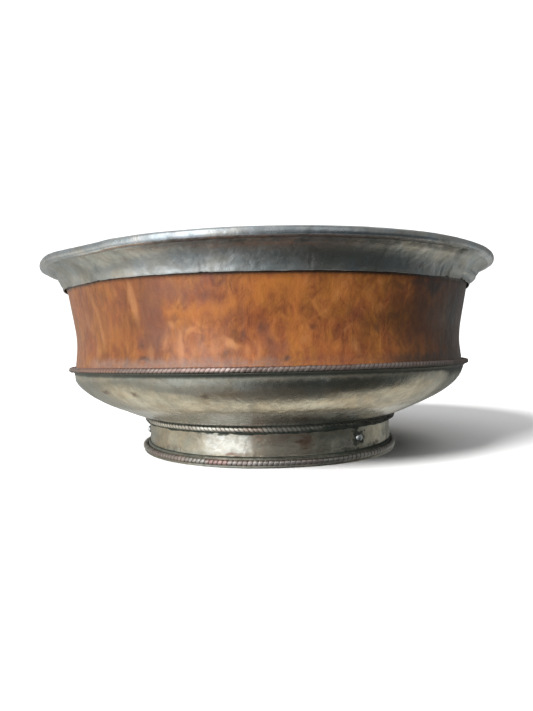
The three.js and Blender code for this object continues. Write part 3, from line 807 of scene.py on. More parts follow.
# a painted pinkish sheen, low on the front
PAINTED_SHEEN = [(-13.4, 31, 4.37, 2.25, 0, 0.4), (-3.9, 30.4, 2.66, 2, 0, 0.3), (-20, 31.2, 2.08, 2.06, 0, 0.3),
        (-14.2, 42.3, 5.22, 1.13, 0, 0.14), (-23.3, 32.4, 2.77, 1.85, 0, 0.2)]
back = rng(21)
for _ in range(64):
    a = float(back.uniform(66, 280))
    h = float(back.uniform(28, 46))
    kind = back.random()
    if kind < 0.45:
        TAN.append((a, h, float(back.uniform(0.35, 1.0)), float(back.uniform(1.5, 6.5)), float(back.uniform(-8, 10)), float(back.uniform(0.4, 0.9))))
    elif kind < 0.75:
        DARK_FIGURE_AND_SHADE.append((a, h, float(back.uniform(0.3, 0.9)), float(back.uniform(0.5, 1.6)), float(back.uniform(-40, 40)), float(back.uniform(0.5, 0.8))))
    elif kind < 0.9:
        RED.append((a, h, float(back.uniform(1.5, 3.2)), float(back.uniform(1.8, 3.6)), 0.0, float(back.uniform(0.4, 0.8))))
    else:
        PURPLE.append((a, h, float(back.uniform(1.5, 3.0)), float(back.uniform(2.5, 6.5)), 4.0, float(back.uniform(0.4, 0.8))))
    if back.random() < 0.35:
        AMBER.append((a + 5, h, float(back.uniform(2.5, 5.0)), float(back.uniform(2.0, 5.0)), 0.0, float(back.uniform(0.4, 0.8))))
    elif back.random() < 0.25:
        PAINTED_SHADE_AND_PATCHES.append((a - 6, h, float(back.uniform(2.0, 4.0)), float(back.uniform(2.0, 5.0)), 0.0, float(back.uniform(0.3, 0.5))))
deg = (np.degrees(wood.th) + 180) % 360 - 180
streaky = np.interp(deg, [-180, -140, -90, -60, -30, -15, 0, 15, 30, 60, 100, 140, 180],
                    [0.35, 0.25, 0.65, 0.8, 0.5, 0.2, 0.1, 0.12, 0.2, 0.5, 0.35, 0.2, 0.35])
wood.attrs = {
    "tan": wood_spots(TAN, 0.75, 0.7),
    "dark": wood_spots(DARK_FIGURE_AND_SHADE, 0.8, 0.8),
    "amber": wood_spots(AMBER, 0.9, 1.3),
    # painted shade, heavier over the left and the right sides
    "shade": 1 - (1 - wood_spots(PAINTED_SHADE_AND_PATCHES, 0.9, 1.3)) * (1 - (0.42 * between(deg, -100, -26, 7) + 0.3 * between(deg, 60, 100, 8))[None, :] * np.ones_like(th)),
    "film_and_sheen": wood_spots(PAINTED_SHEEN, 0.9, 1.3),
    "red": wood_spots(RED, 0.9, 1.3),
    "purple": wood_spots(PURPLE, 0.9, 1.2),
    "streaky": np.broadcast_to(np.clip(streaky + 0.18 * ripple(wood.th, np.zeros(1), 15, 60, 12, R, 0.6, 20)[0], 0, 1), th.shape),
    "pale_and_highlight": smooth(z + 0.7 * ragz, 30.2, 27.9) * (0.14 + 0.66 * between(deg, -46, -2, 8)[None, :]),
    # old dirt with painted shade: under the collar's edge and low on the right
    "soil_and_shade": np.maximum(0.8 * smooth(z - foot_lift(wood.th)[None, :], 47.2, 48.0),
                       np.maximum(smooth(z + 0.4 * ragz, 27.6, 26.4) * (0.2 + 0.5 * between(deg, 4, 80, 6)[None, :]),
                                  0.75 * smooth(z + 0.8 * ragz, 31.4, 28.0) * between(deg, 34, 100, 14)[None, :])) * np.ones_like(th),
}
body = wood.build()
place(body, "wood_bowl", M_WOOD)

# ---------------------------------------------------------------- the silver lining
liner_out = aside(lining_curve, SHEET)
liner_out[0] = (0, FLOOR_Z - SHEET)
liner = Turned("silver_lining", np.vstack([liner_out, lining_curve[::-1]]), False, 620, rounding=0.14, tolerance=0.02,
               longest=lambda r, z: 0.95)
inside = (liner.nz * 1.0 + -liner.nr * 1.0 > 0).astype(float)[:, None]
h = rng(31)
# planishing: a shallow dish round each of many seeds, so that ridges run half-way between them
marks = []
dist_along = liner.s[::-1] - liner.s[-1]
for ring_r in np.arange(3.5, 92, 3.4):
    count = max(4, int(TAU * min(ring_r, 62) / 3.8))
    for q in range(count):
        marks.append((ring_r + h.uniform(-0.7, 0.7), (q + h.uniform(-0.3, 0.3)) / count * TAU - math.pi))
marks = np.array(marks)
arc = (liner.s[-1] - liner.s)  # distance from the pole along the inside
near = np.full((len(liner.r), len(liner.th)), 1e9)
for row in range(len(liner.r)):
    if not inside[row, 0]:
        continue
    m = marks[np.abs(marks[:, 0] - arc[row]) < 5.5]
    if not len(m):
        near[row] = 4.0
        continue
    d = (liner.th[:, None] - m[None, :, 1] + math.pi) % TAU - math.pi
    near[row] = np.sqrt((d * liner.r[row]) ** 2 + (m[None, :, 0] - arc[row]) ** 2).min(1)
near = np.minimum(near, 3.5)
liner.out += inside * (0.012 * near ** 2 - 0.05)
liner.out += inside * 0.08 * ripple(liner.th, liner.s, 32, 60, 12, 50, 0.8, 50)
bend_rim(liner)
th, z = liner.grid()
low = ripple(liner.th, liner.s, 33, 40, 6, 45, 0.5, 60)
liner.attrs = {
    "grime_and_shade": np.clip(0.55 * smooth(z, 16.2, 15.0) * inside * 0.3 + 0.12 * inside * smooth(low, 0.5, 1.2), 0, 1),
    "stain": 0.35 * smooth(low, 0.7, 1.5) * inside,
    "pale_and_highlight": 0.25 * smooth(z, 54.5, 55.8) * inside,
}
place(liner.build(), "silver_liner", M_LINER)

# ---------------------------------------------------------------- collar
# the sheet is beaten thin at its lower edge
thick = SHEET - 0.38 * smooth(collar_curve[:, 1], 50.4, 48.6)
collar_path = np.vstack([collar_curve, (collar_curve + (aside(collar_curve, -1.0) - collar_curve) * thick[:, None])[::-1]])
collar = Turned("flared_collar", collar_path, True, 1240, rounding=0.09, tolerance=0.012,
                longest=lambda r, z: 0.42)
th, z = collar.grid()
deg = (np.degrees(collar.th) + 180) % 360 - 180
outer = collar.facing()
bend_rim(collar, foot_z=46.9)
collar.out += 0.055 * outer * ripple(collar.th, collar.z * 1.5, 41, 26, 5, 65, 0.8, 70)
collar.out += 0.02 * outer * ripple(collar.th, collar.z * 1.5, 42, 5, 1.6, 65, 0.4, 90)
edge = smooth(collar.z, 50.2, 48.2)[:, None]
ragged = 0.10 * ripple(collar.th, np.zeros(1), 43, 30, 2.5, 64, 0.5, 60)[0]
for at, deep, wide in ((45.5, 0.30, 0.9), (55.0, 0.42, 1.2), (58.2, 0.3, 0.8), (-40.5, 0.18, 0.7), (-13.2, 0.16, 0.5), (-12.0, 0.12, 0.4),
                       (-58, 0.2, 1.0), (101, 0.3, 1.0), (148, 0.26, 1.2), (-121, 0.3, 0.9), (-160, 0.22, 1.0)):
    ragged = ragged + deep * np.exp(-((turn(collar.th, at)) / wide) ** 2)
collar.dz += edge * ragged
# short upright creases near the lower edge
crease = np.zeros(len(collar.th))
cr = rng(44)
for at, d, w in [(-13.0, 0.07, 0.42), (-12.0, 0.05, 0.35), (-14.4, 0.045, 0.4), (-22, 0.04, 0.5), (55.0, 0.22, 0.5), (57.6, 0.2, 0.4), (45.5, 0.15, 0.5)] + [
        (float(cr.uniform(-180, 180)), float(cr.uniform(0.03, 0.12)), float(cr.uniform(0.25, 0.6))) for _ in range(16)]:
    crease = crease - d * np.exp(-((turn(collar.th, at)) / w) ** 2)
collar.out += outer * between(collar.z, 47, 50.6, 0.9)[:, None] * crease
f1 = ripple(collar.th, collar.z * 1.4, 45, 20, 2.5, 65, 0.4, 80)
f2 = ripple(collar.th, collar.z * 1.4, 46, 9, 1.5, 65, 0.3, 80)
deg2 = deg[None, :]
# grime here: patina at random, and painted shade along the lower edge, over the left, under the lip at the front and on
# the sheet's inner face; pale: a painted highlight along the lower edge on the front left
collar.attrs = {
    "grime_and_shade": np.clip(0.42 * smooth(z, 48.5, 48.0) * (1 - 0.7 * smooth(np.abs(deg2), 55, 75)) + 0.4 * between(deg2, -100, -58, 9) * smooth(z, 53.6, 52.6) + 0.30 * smooth(f1, 0.5, 1.4) * smooth(f2, 0.0, 0.8)
                     + 0.8 * smooth(collar.z, 52.6, 53.6)[:, None] * (0.8 + 0.2 * f1) * (0.2 + 0.6 * between(deg2, -18, 44, 12)), 0, 1) * outer + 0.5 * (1 - outer),
    "stain": 0.35 * smooth(f1, 0.6, 1.5) * outer,
    "pale_and_highlight": 0.55 * between(deg2, -32, -8, 5) * between(z, 48.3, 49.6, 0.6) * (0.5 + 0.5 * f2) * outer,
}
place(collar.build(), "rim_collar", M_RIM)

# ---------------------------------------------------------------- lip
lip = Turned("rolled_lip", LIP, True, 1240, rounding=0.16, tolerance=0.006, longest=lambda r, z: 0.26)
th, z = lip.grid()
bend_rim(lip, 49.5, 51.0)
lip.out += 0.030 * ripple(lip.th, lip.s, 51, 22, 3.5, 70, 0.7, 60)
lip.out += 0.012 * ripple(lip.th, lip.s, 52, 4, 1.2, 70, 0.4, 80)
f1 = ripple(lip.th, lip.s, 53, 18, 2, 70, 0.3, 70)
# grime here: patina at random, and painted shade along the lower edge at the front; pale: lighter along the top
lip.attrs = {
    "grime_and_shade": np.clip(0.3 * smooth(f1, 0.9, 1.6) + 0.55 * smooth(lip.z, 54.75, 54.3)[:, None] * between((np.degrees(lip.th) + 180) % 360 - 180, -16, 46, 12)[None, :], 0, 1),
    "stain": 0.15 * smooth(f1, 0.3, 1.3),
    "pale_and_highlight": 0.5 * smooth(lip.z, 55.2, 56.2)[:, None] * smooth(-f1, -0.8, 0.8),
}
place(lip.build(), "rim_lip", M_LIP)

# ---------------------------------------------------------------- cup
cup_back = aside(cup_curve, -SHEET)
cup_path = np.vstack([
    [(38.7, CUP[0][1])],
    cup_curve[:-1],
    [(61.55, 25.32), (LEDGE_R - 0.6, SEAM_Z - LEDGE_T + 0.05), (LEDGE_R, SEAM_Z - LEDGE_T / 3), (LEDGE_R - 0.1, SEAM_Z), (60.7, SEAM_Z)],
    cup_back[(cup_back[:, 1] < 24.9) & (cup_back[:, 0] > 41.2)][::-1],
    [(40.9, CUP[0][1] + SHEET), (38.7, CUP[0][1] + SHEET)],
])
cup = Turned("silver_cup", cup_path, True, 980, rounding=0.11, tolerance=0.012, longest=lambda r, z: 0.46)
th, z = cup.grid()
outer = (cup.nr > -0.05)[:, None] * (cup.nz < 0.4)[:, None]
deg = ((np.degrees(cup.th) + 180) % 360 - 180)[None, :]
below = smooth(cup.z, 25.2, 24.2)[:, None]
cup.out += 0.045 * outer * below * ripple(cup.th, cup.s, 61, 40, 9, 58, 0.9, 50)
cup.out += 0.010 * outer * below * ripple(cup.th, cup.s, 62, 6, 2.0, 58, 0.5, 80)
cup.dr += 0.5 * between(cup.z, 15.5, 22.5, 2.2)[:, None] * between(deg, -108, -62, 12)
cup.dr -= 0.4 * smooth(cup.r, 61.7, 62.3)[:, None] * smooth(cup.z, 25.0, 25.3)[:, None] * between(deg, 55, 95, 12)
led = smooth(cup.r, 61.6, 62.4)[:, None] * smooth(cup.z, 25.0, 25.4)[:, None]
cup.dz += led * 0.05 * ripple(cup.th, np.zeros(1), 63, 25, 3, 62, 0.5, 50)[0]
cup.dr += led * 0.05 * ripple(cup.th, np.zeros(1), 64, 25, 3, 62, 0.5, 50)[0]
f1 = ripple(cup.th, cup.s, 65, 24, 3, 55, 0.4, 80)
f2 = ripple(cup.th, cup.s, 66, 8, 1.4, 55, 0.3, 80)
rag2 = 0.5 * ripple(cup.th, cup.s, 67, 4, 1.0, 55, 0.2, 80)


def cup_spots(items):
    v = np.zeros_like(th)
    for at, height, w, hh, lean, strength in items:
        v = np.maximum(v, strength * spot(th, z, 59, at, height, w, hh, lean, 0.5, rag2))
    return v


# grime here: dull spots and patina, darker along the foot, a painted shadow under the wire and its ledge, and painted
# shade over the left and the right; pale: a painted reflection low on the front, and one pale spot
cup.attrs = {
    "grime_and_shade": np.clip(0.7 * smooth(cup.z, 11.9, 11.2)[:, None] * (0.75 + 0.25 * f1) + 0.32 * smooth(cup.z, 22.6, 24.4)[:, None] + 0.55 * between(deg, 53, 100, 8) + 0.12 * between(deg, -100, -44, 9) + 0.5 * smooth(cup.z, 24.3, 25.0)[:, None] + 0.8 * smooth(cup.z, 24.9, 25.5)[:, None] * (cup.nz < 0.5)[:, None]
                     + 0.14 * smooth(f1, 0.7, 1.5) + cup_spots([(-15.0, 20.5, 0.6, 0.35, 0, 0.6), (-34.1, 20.7, 0.8, 0.35, 0, 0.45)])
                     + 0.6 * smooth(cup.z, 25.8, 25.95)[:, None] * smooth(cup.r, 61.6, 61.0)[:, None], 0, 1),
    "stain": np.clip(cup_spots([(-45.5, 20.7, 2.2, 0.5, 0, 0.9), (-34.1, 20.6, 1.4, 0.55, 0, 0.8), (-15.0, 20.5, 0.9, 0.5, 0, 0.8),
                                (30.2, 21.7, 1.4, 0.7, 0, 0.45), (120, 20, 2.0, 0.8, 0, 0.8), (-140, 18, 2.4, 0.9, 0, 0.7), (170, 22, 1.6, 0.6, 0, 0.7)])
                     + 0.25 * smooth(f1, 0.8, 1.6), 0, 1),
    "pale_and_highlight": np.clip(cup_spots([(11.7, 23.7, 0.75, 0.85, 0, 0.5)]) + 0.95 * between(z, 11.9, 15.0, 1.2) * between(deg, -60, 42, 10), 0, 1),
}
place(cup.build(), "lower_cup", M_CUP)


# ---------------------------------------------------------------- twisted wires
def ring_attr(obj, key, fn):
    """A point attribute from fn(th, z)."""
    me = obj.data
    co = np.zeros(len(me.vertices) * 3, np.float32)
    me.vertices.foreach_get("co", co)
    co = co.reshape(-1, 3) * 1000
    a = me.attributes.get(key) or me.attributes.new(key, "FLOAT", "POINT")
    a.data.foreach_set("value", np.asarray(fn(np.arctan2(co[:, 0], -co[:, 1]), co[:, 2]), np.float32))


def along(seed, longest, shortest, radius):
    t = np.linspace(-math.pi, math.pi, 2400, endpoint=False)
    v = ripple(t, np.zeros(1), seed, longest, shortest, radius, 0.5, 50)[0]
    return lambda x: np.interp(x, t, v, period=TAU)


wear_a = along(81, 50, 8, 62)
seam_pace = bent([-180, -42, -15, 0, 15, 60], [1.0, 0.94, 1.02, 1.015, 1.005, 1.0], 5.0)
seam_rise = bent([-180, -90, -66, -40, 0, 40, 60, 85, 150], [0.0, -0.45, -0.55, -0.1, 0.0, 0.0, -0.15, -0.25, 0.0], 5.0)
seam = twisted_wire("seam_twist", SEAM_WIRE_R, SEAM_Z + SEAM_WIRE_D / 2 + 0.05, SEAM_WIRE_D, 328, 1, seed=82,
                    press=lambda t: 0.08 + 0.05 * np.clip(wear_a(t), -1, 1.5), pace=seam_pace, rise=seam_rise)
ring_attr(seam, "stain", lambda t, z: np.clip(0.6 * between(np.degrees(t), -52, -38, 4) + 0.3 * between(np.degrees(t), -75, 0, 10) * (0.6 + 0.4 * wear_a(t)), 0, 1))
# darker from the front round to the right, on the far left and underneath: dirt with painted shade
ring_attr(seam, "grime_and_shade", lambda t, z: np.clip(0.25 * smooth(np.degrees(t), -12, 2) * (1 - smooth(np.degrees(t), 100, 130)) + 0.35 * smooth(np.degrees(t), 5, 45) * (1 - smooth(np.degrees(t), 100, 130)) + 0.25 * smooth(wear_a(t), 0.2, 1.2) + 0.3 * smooth(-np.degrees(t), 54, 66) * smooth(-np.degrees(t), 130, 110)
                                            + 0.7 * smooth(z, SEAM_Z + 0.45, SEAM_Z + 0.1), 0, 1))
place(seam, "seam_wire", M_SEAM_WIRE)

wear_b = along(83, 40, 6, 40)


def top_cover(t):
    """1 where old solder and dirt cover the wire under the flange."""
    d = (np.degrees(t) + 180) % 360 - 180
    front = smooth(d, 10, 15) * (1 - smooth(d, 96, 110)) + smooth(d, -57, -66) * (1 - smooth(d, -96, -110))
    behind = between(d, 150, 171, 5) + between(d, -150, -132, 5)
    return np.clip(front + behind, 0, 1)


top_z = FLANGE_TOP - FLANGE_T - TOP_WIRE_D / 2 + 0.02
foot_rise = bent([-180, -70, -45, -12, 6, 60], [0.0, 0.05, 0.2, 0.18, 0.05, 0.0], 5.0)   # the wire rides up on the left
top = twisted_wire("foot_top_twist", TOP_WIRE_R, top_z, TOP_WIRE_D, 204, -1, seed=84,
                   press=lambda t: 0.09 + 0.05 * np.clip(wear_b(t), -1, 1.5), sink=lambda t: 0.42 * top_cover(t), rise=foot_rise)
ring_attr(top, "stain", lambda t, z: np.clip(0.5 * between(np.degrees(t), -9, -3, 2), 0, 1))
# darker from the front round to the right and on the far left: patina with painted shade
ring_attr(top, "grime_and_shade", lambda t, z: np.clip(0.85 * smooth(np.degrees(t), -9, 3) * (1 - smooth(np.degrees(t), 110, 125)) + 0.6 * smooth(np.degrees(t), -42, -60)
                                           * (1 - smooth(-np.degrees(t), 100, 120)) + 0.2 * smooth(wear_b(t), 0.3, 1.2), 0, 1))
place(top, "foot_top_wire", M_TOP_WIRE)

wear_c = along(85, 40, 6, 40)
base_push = bent([-180, 8, 26, 46, 62, 76, 98, 130], [0.0, 0.0, 0.6, 0.65, 0.1, -0.55, -0.45, 0.0], 5.0)   # the ring bellies a little, then draws in
base_wire = twisted_wire("foot_base_twist", BASE_WIRE_R, BASE_EDGE_T + BASE_WIRE_D / 2 - 0.1, BASE_WIRE_D, 184, 1, starts=1,
                         seed=86, sink=lambda t: -base_push(t), pace=bent([-180, -60, -40, -5, 15, 45, 100], [1.0, 1.04, 1.04, 1.04, 0.95, 0.95, 1.0], 6.0), press=lambda t: 0.10 + 0.06 * np.clip(wear_c(t), -1, 1.5))
ring_attr(base_wire, "stain", lambda t, z: np.clip(0.75 * between(np.degrees(t), -23, -17, 3) + 0.3 * between(np.degrees(t), -62, 12, 10) * smooth(wear_c(t), -0.2, 0.9), 0, 1))
# darker on the right and on the far left: dirt with painted shade
ring_attr(base_wire, "grime_and_shade", lambda t, z: np.clip(0.35 * smooth(np.degrees(t), 14, 40) + 0.3 * smooth(-np.degrees(t), 50, 70) + 0.25 * smooth(-wear_c(t), 0.4, 1.2), 0, 1))
place(base_wire, "foot_base_wire", M_BASE_WIRE)

# ---------------------------------------------------------------- foot
flange = Turned("foot_flange_ring", [(38.7, FLANGE_TOP - FLANGE_T), (FLANGE_R - 0.15, FLANGE_TOP - FLANGE_T),
                                    (FLANGE_R, FLANGE_TOP - FLANGE_T / 2), (FLANGE_R, FLANGE_TOP), (38.7, FLANGE_TOP)],
                True, 900, rounding=0.08, tolerance=0.006, longest=lambda r, z: 0.45)
th, z = flange.grid()
out = smooth(flange.r, 40.4, 41.0)[:, None]
flange.dr += out * 0.07 * ripple(flange.th, np.zeros(1), 91, 18, 2, 41, 0.5, 50)[0]
flange.dz += out * 0.9 * foot_rise(flange.th)
flange.dz += out * 0.03 * ripple(flange.th, np.zeros(1), 92, 12, 2, 41, 0.5, 50)[0]
f1 = ripple(flange.th, flange.s, 93, 14, 2, 41, 0.4, 50)
flange.attrs = {"grime_and_shade": np.clip(0.8 + 0.25 * f1, 0, 1), "stain": 0 * th, "pale_and_highlight": 0.12 * smooth(f1, 0.9, 1.5)}
place(flange.build(), "foot_flange", M_FOOT)

sleeve_top = FLANGE_TOP - 0.6
outside = catmull([(SLEEVE_R, BASE_EDGE_T + 0.1), (SLEEVE_R, BASE_TOP), (SLEEVE_R - 0.12, (BASE_TOP + sleeve_top) / 2), (SLEEVE_R, sleeve_top)], 0.3)
sleeve = Turned("foot_wall", np.vstack([[(SLEEVE_R - SHEET, BASE_EDGE_T + 0.1)], outside, [(SLEEVE_R - SHEET, sleeve_top)]]),
                True, 1100, rounding=0.06, tolerance=0.008, longest=lambda r, z: 0.3 if r > SLEEVE_R - 0.3 else 1.2)
th, z = sleeve.grid()
deg = ((np.degrees(sleeve.th) + 180) % 360 - 180)[None, :]
outer = smooth(sleeve.r, SLEEVE_R - 0.4, SLEEVE_R - 0.2)[:, None]
sleeve.out += outer * (0.035 * ripple(sleeve.th, sleeve.z, 101, 34, 9, 39, 0.8, 50) + 0.006 * ripple(sleeve.th * 0 + sleeve.th, sleeve.z * 4, 102, 8, 1.6, 39, 0.5, 80))
rag3 = 0.5 * ripple(sleeve.th, sleeve.z, 103, 4, 0.8, 39, 0.2, 90)
f1 = ripple(sleeve.th, sleeve.z, 104, 18, 2, 39, 0.4, 70)
f2 = ripple(sleeve.th, sleeve.z * 3, 105, 6, 0.9, 39, 0.3, 90)


def foot_spots(items):
    v = np.zeros_like(th)
    for at, height, w, hh, lean, strength in items:
        v = np.maximum(v, strength * spot(th, z, 39.2, at, height, w, hh, lean, 0.5, rag3))
    return v


halos = [(a - 0.4, RIVET_Z - 0.1, 2.5, 2.3, 0, 1.0) for a in RIVET_AT] + [(a - 1.4, RIVET_Z + 2.2, 1.1, 2.0, 0, 0.85) for a in RIVET_AT]
# grime here: dark halos round the rivets, solder under the flange, patina, darker along the bottom, and painted shade
# right of the front and on the right edge; pale: a painted highlight on the front left
sleeve.attrs = {
    "grime_and_shade": np.clip(foot_spots(halos + [(31, 3.3, 4.5, 0.5, 0, 0.65), (49, 3.4, 3.4, 0.6, 0, 0.5), (20, 9.0, 4.5, 0.5, 0, 0.6), (-9.5, 8.6, 1.8, 0.45, 0, 0.85), (-14.0, 8.8, 1.4, 0.35, 0, 0.8),
                                        (-18.6, 8.75, 1.5, 0.5, 0, 0.9), (-30, 8.5, 1.4, 0.45, 0, 0.6), (-24.5, 8.7, 1.6, 0.35, 0, 0.75), (-44, 3.3, 4.2, 0.75, 0, 0.6),
                                        (-38, 3.9, 1.0, 0.5, 0, 0.5), (-3.5, 7.0, 0.8, 0.6, 0, 0.5), (27, 5.0, 2.6, 1.4, 0, 0.3), (120, 3.4, 5.0, 0.5, 0, 0.6),
                                        (-120, 8.6, 4.0, 0.5, 0, 0.6), (-170, 3.6, 4.0, 0.6, 0, 0.5)])
                     + 0.75 * smooth(z, 8.9, 9.5) + 0.12 * between(deg, -4, 33, 4) + 0.4 * smooth(z, 3.0, 2.6) * (1 - 0.7 * between(deg, -26, -4, 5)) + 0.45 * between(deg, 66, 88, 7)
                     + 0.3 * smooth(f1, 0.6, 1.4) * smooth(f2, -0.5, 0.8), 0, 1) * outer,
    "stain": np.clip(foot_spots([(-13.0, 3.3, 3.4, 0.5, 0, 1.0), (14.1, 6.1, 2.2, 1.8, 0, 0.5), (-45, 3.9, 3.2, 0.5, 0, 0.5), (90, 5, 2, 1, 0, 0.7), (-150, 6, 3, 1, 0, 0.5)])
                     + 0.15 * smooth(f1, 0.3, 1.4) + (0.3 + 0.3 * smooth(z, 5.0, 7.4)) * between(deg, -6, 14, 3.5), 0, 1) * outer,
    "pale_and_highlight": np.clip(0.8 * between(deg, -25, -9, 3.5) * between(z, 3.4, 8.3, 0.5) * (0.65 + 0.35 * f2), 0, 1) * outer,
}
place(sleeve.build(), "foot_sleeve", M_FOOT)

wire_in = BASE_WIRE_R - BASE_WIRE_D / 2
base = Turned("foot_base", [(BASE_INNER_R, 0), (BASE_R - 0.12, 0), (BASE_R, 0.15), (BASE_R, BASE_EDGE_T),
                            (wire_in - 0.05, BASE_EDGE_T), (wire_in - 0.05, 1.95), (wire_in - 0.1, 2.1),
                            (SLEEVE_R + 0.15, BASE_SEAT), (SLEEVE_R + 0.08, BASE_SEAT - 0.06),
                            (SLEEVE_R + 0.08, BASE_EDGE_T), (BASE_INNER_R, BASE_EDGE_T)],
              True, 1000, rounding=0.07, tolerance=0.008, longest=lambda r, z: 0.42)
th, z = base.grid()
top_edge = smooth(base.z, 0.3, 0.6)[:, None] * smooth(base.r, 40.6, 40.9)[:, None]
base.dr += (base_push(base.th) * smooth(base.r, 39.0, 40.4)[:, None])
base.dr += top_edge * 0.04 * ripple(base.th, np.zeros(1), 111, 16, 2, 41, 0.5, 50)[0]
slope = smooth(base.z, 1.8, 2.1)[:, None]
base.dz += slope * 0.05 * ripple(base.th, base.s, 112, 14, 2, 41, 0.5, 50)
f1 = ripple(base.th, base.s, 113, 14, 1.5, 41, 0.3, 70)
deg = ((np.degrees(base.th) + 180) % 360 - 180)[None, :]
# grime here: solder against the wall, patina, and painted shade over the slope on the right and the left; pale: a
# painted glint along the lower edge on the front left
base.attrs = {
    "grime_and_shade": np.clip(0.5 * smooth(base.z, 2.3, 2.6)[:, None] * (0.5 + 0.5 * (1 - between(deg, -26, 2, 6))) + 0.75 * smooth(deg, 8, 30) * slope + 0.5 * between(deg, -66, -34, 6) * slope + 0.5 * smooth(base.z, 0.35, 0.7)[:, None] * (1 - slope)
                     + 0.25 * smooth(f1, 0.5, 1.3), 0, 1),
    "stain": 0.25 * smooth(f1, 0.2, 1.2),
    "pale_and_highlight": 0.35 * between(deg, -37, -22, 4) * smooth(base.z, 0.6, 0.2)[:, None] * (base.nr > 0.5)[:, None],
}
place(base.build(), "foot_base_ring", M_BASE)

plate_path = [(0, 2.8), (STUB_R, 2.8), (STUB_R, 3.5), (0, 3.5)]
plate = Turned("foot_plate", plate_path, False, 420, rounding=0.1, tolerance=0.01, longest=lambda r, z: 0.8)
th, z = plate.grid()
under = (plate.nz < -0.5)[:, None]
plate.out += under * 0.05 * ripple(plate.th, plate.r, 121, 30, 5, 20, 0.7, 50)
f1 = ripple(plate.th, plate.r, 122, 22, 3, 20, 0.4, 70)
plate.attrs = {"grime_and_shade": np.clip(0.8 * smooth(plate.r, 36.6, 38.0)[:, None] + 0.35 * smooth(f1, 0.3, 1.2), 0, 1), "stain": 0.5 * smooth(f1, 0.4, 1.3), "pale_and_highlight": 0 * th}
place(plate.build(), "base_plate", M_BASE)


# ---------------------------------------------------------------- rivets
def rivet(index, degrees):
    """A hand-hammered dome on its shank, on the foot's wall."""
    prof = rounded([(0, -3.4), (0.5, -3.4), (0.5, 0.02), (1.18, 0.02), (1.15, 0.29), (0.93, 0.60), (0.5, 0.79), (0, 0.84)], False, 0.05, 0.02)
    prof = thinned(prof, False, 0.004, lambda r, z: 0.12 if z > -0.1 else 0.6)
    t = np.linspace(0, TAU, 40, endpoint=False)
    lump = 1 + 0.035 * ripple(t, prof[:, 1] * 1.2, 130 + index, 2.5, 0.7, 1.0, 0.4, 30) * (prof[:, 1] > 0)[:, None]
    r = prof[:, 0][:, None] * lump
    x, y, d = r * np.cos(t), r * np.sin(t), prof[:, 1][:, None] + 0 * r
    flat = 0.77 - 0.02 * index
    d = np.where(d > flat, flat + 0.5 * (d - flat), d)  # struck a little flat
    a = math.radians(degrees)
    out = np.array([math.sin(a), -math.cos(a), 0])
    side_ = np.array([math.cos(a), math.sin(a), 0])
    up = np.array([0, 0, 1.0])
    co = out * (SLEEVE_R + 0.03 + d)[..., None] + side_ * x[..., None] + up * (RIVET_Z + y)[..., None]
    k, n = r.shape
    rows = co[1:-1].reshape(-1, 3)
    m = k - 2
    pts = np.vstack([rows, co[0, 0], co[-1, 0]])
    j = np.arange(n)
    j2 = (j + 1) % n
    i = np.arange(m - 1)[:, None]
    quads = np.stack([i * n + j, i * n + j2, (i + 1) * n + j2, (i + 1) * n + j], -1).reshape(-1, 4)
    tri0 = np.stack([j2, j, np.full(n, m * n)], -1)
    tri1 = np.stack([(m - 1) * n + j, (m - 1) * n + j2, np.full(n, m * n + 1)], -1)
    # darker at the foot of the dome, lighter over the rest
    grime_and_shade_v = np.r_[(0.95 * smooth(d, 0.22, 0.02) + 0 * r)[1:-1].ravel(), 1.0, 0.0]
    return mesh_object("rivet_%d" % index, pts, [quads, tri0, tri1], {"grime_and_shade": grime_and_shade_v, "stain": 0 * grime_and_shade_v, "pale_and_highlight": 0.4 * (1 - grime_and_shade_v)})


for i, a in enumerate(RIVET_AT):
    place(rivet(i + 1, a), "foot_rivet_%d" % (i + 1), M_LIP)

# ---------------------------------------------------------------- solder
wob = along(141, 12, 1.6, 39)
wob2 = along(142, 20, 3, 40)
cover = top_cover
place(bead("solder_under_foot_wire",
           rc=lambda t: 39.38 + 0.32 * cover(t) + 0.05 * wob(t),
           zc=lambda t: 9.12 + 0.60 * cover(t) + 0.10 * wob2(t),
           ar=lambda t: 0.27 + 0.65 * cover(t) + 0.05 * wob(t),
           az=lambda t: 0.42 + 0.52 * cover(t) + 0.12 * wob(t),
           seed=143, rough=0.05,
           attrs={"grime_and_shade": lambda t: np.clip(0.8 + 0.2 * wob(t) - 0.12 * smooth((np.degrees(t) + 180) % 360 - 180, 43, 50) * (1 - smooth((np.degrees(t) + 180) % 360 - 180, 60, 66)), 0, 1),
                  "stain": lambda t: 0.2 * smooth(wob2(t), 0.2, 1.0), "pale_and_highlight": lambda t: 0 * t}),
      None, M_SOLDER)
wob3 = along(144, 14, 2, 41)
place(bead("solder_over_flange", rc=lambda t: 41.2 + 0.05 * wob3(t), zc=lambda t: 11.1 + 0.03 * wob3(t), ar=lambda t: 0.30 + 0.05 * wob3(t),
           az=lambda t: 0.16 + 0.04 * wob(t), seed=145, rough=0.035,
           attrs={"grime_and_shade": lambda t: np.clip(0.95 + 0.1 * wob3(t), 0, 1), "stain": lambda t: 0 * t, "pale_and_highlight": lambda t: 0 * t}),
      None, M_SOLDER)
wob4 = along(146, 14, 2, 39)
place(bead("solder_on_base", rc=lambda t: 39.3 + 0.03 * wob4(t), zc=lambda t: BASE_SEAT + 0.03 * wob4(t), ar=lambda t: 0.15 + 0.03 * wob4(t),
           az=lambda t: 0.10 + 0.03 * wob(t), seed=147, rough=0.03,
           attrs={"grime_and_shade": lambda t: np.clip(0.9 + 0.1 * wob4(t), 0, 1), "stain": lambda t: 0 * t, "pale_and_highlight": lambda t: 0 * t}),
      None, M_SOLDER)

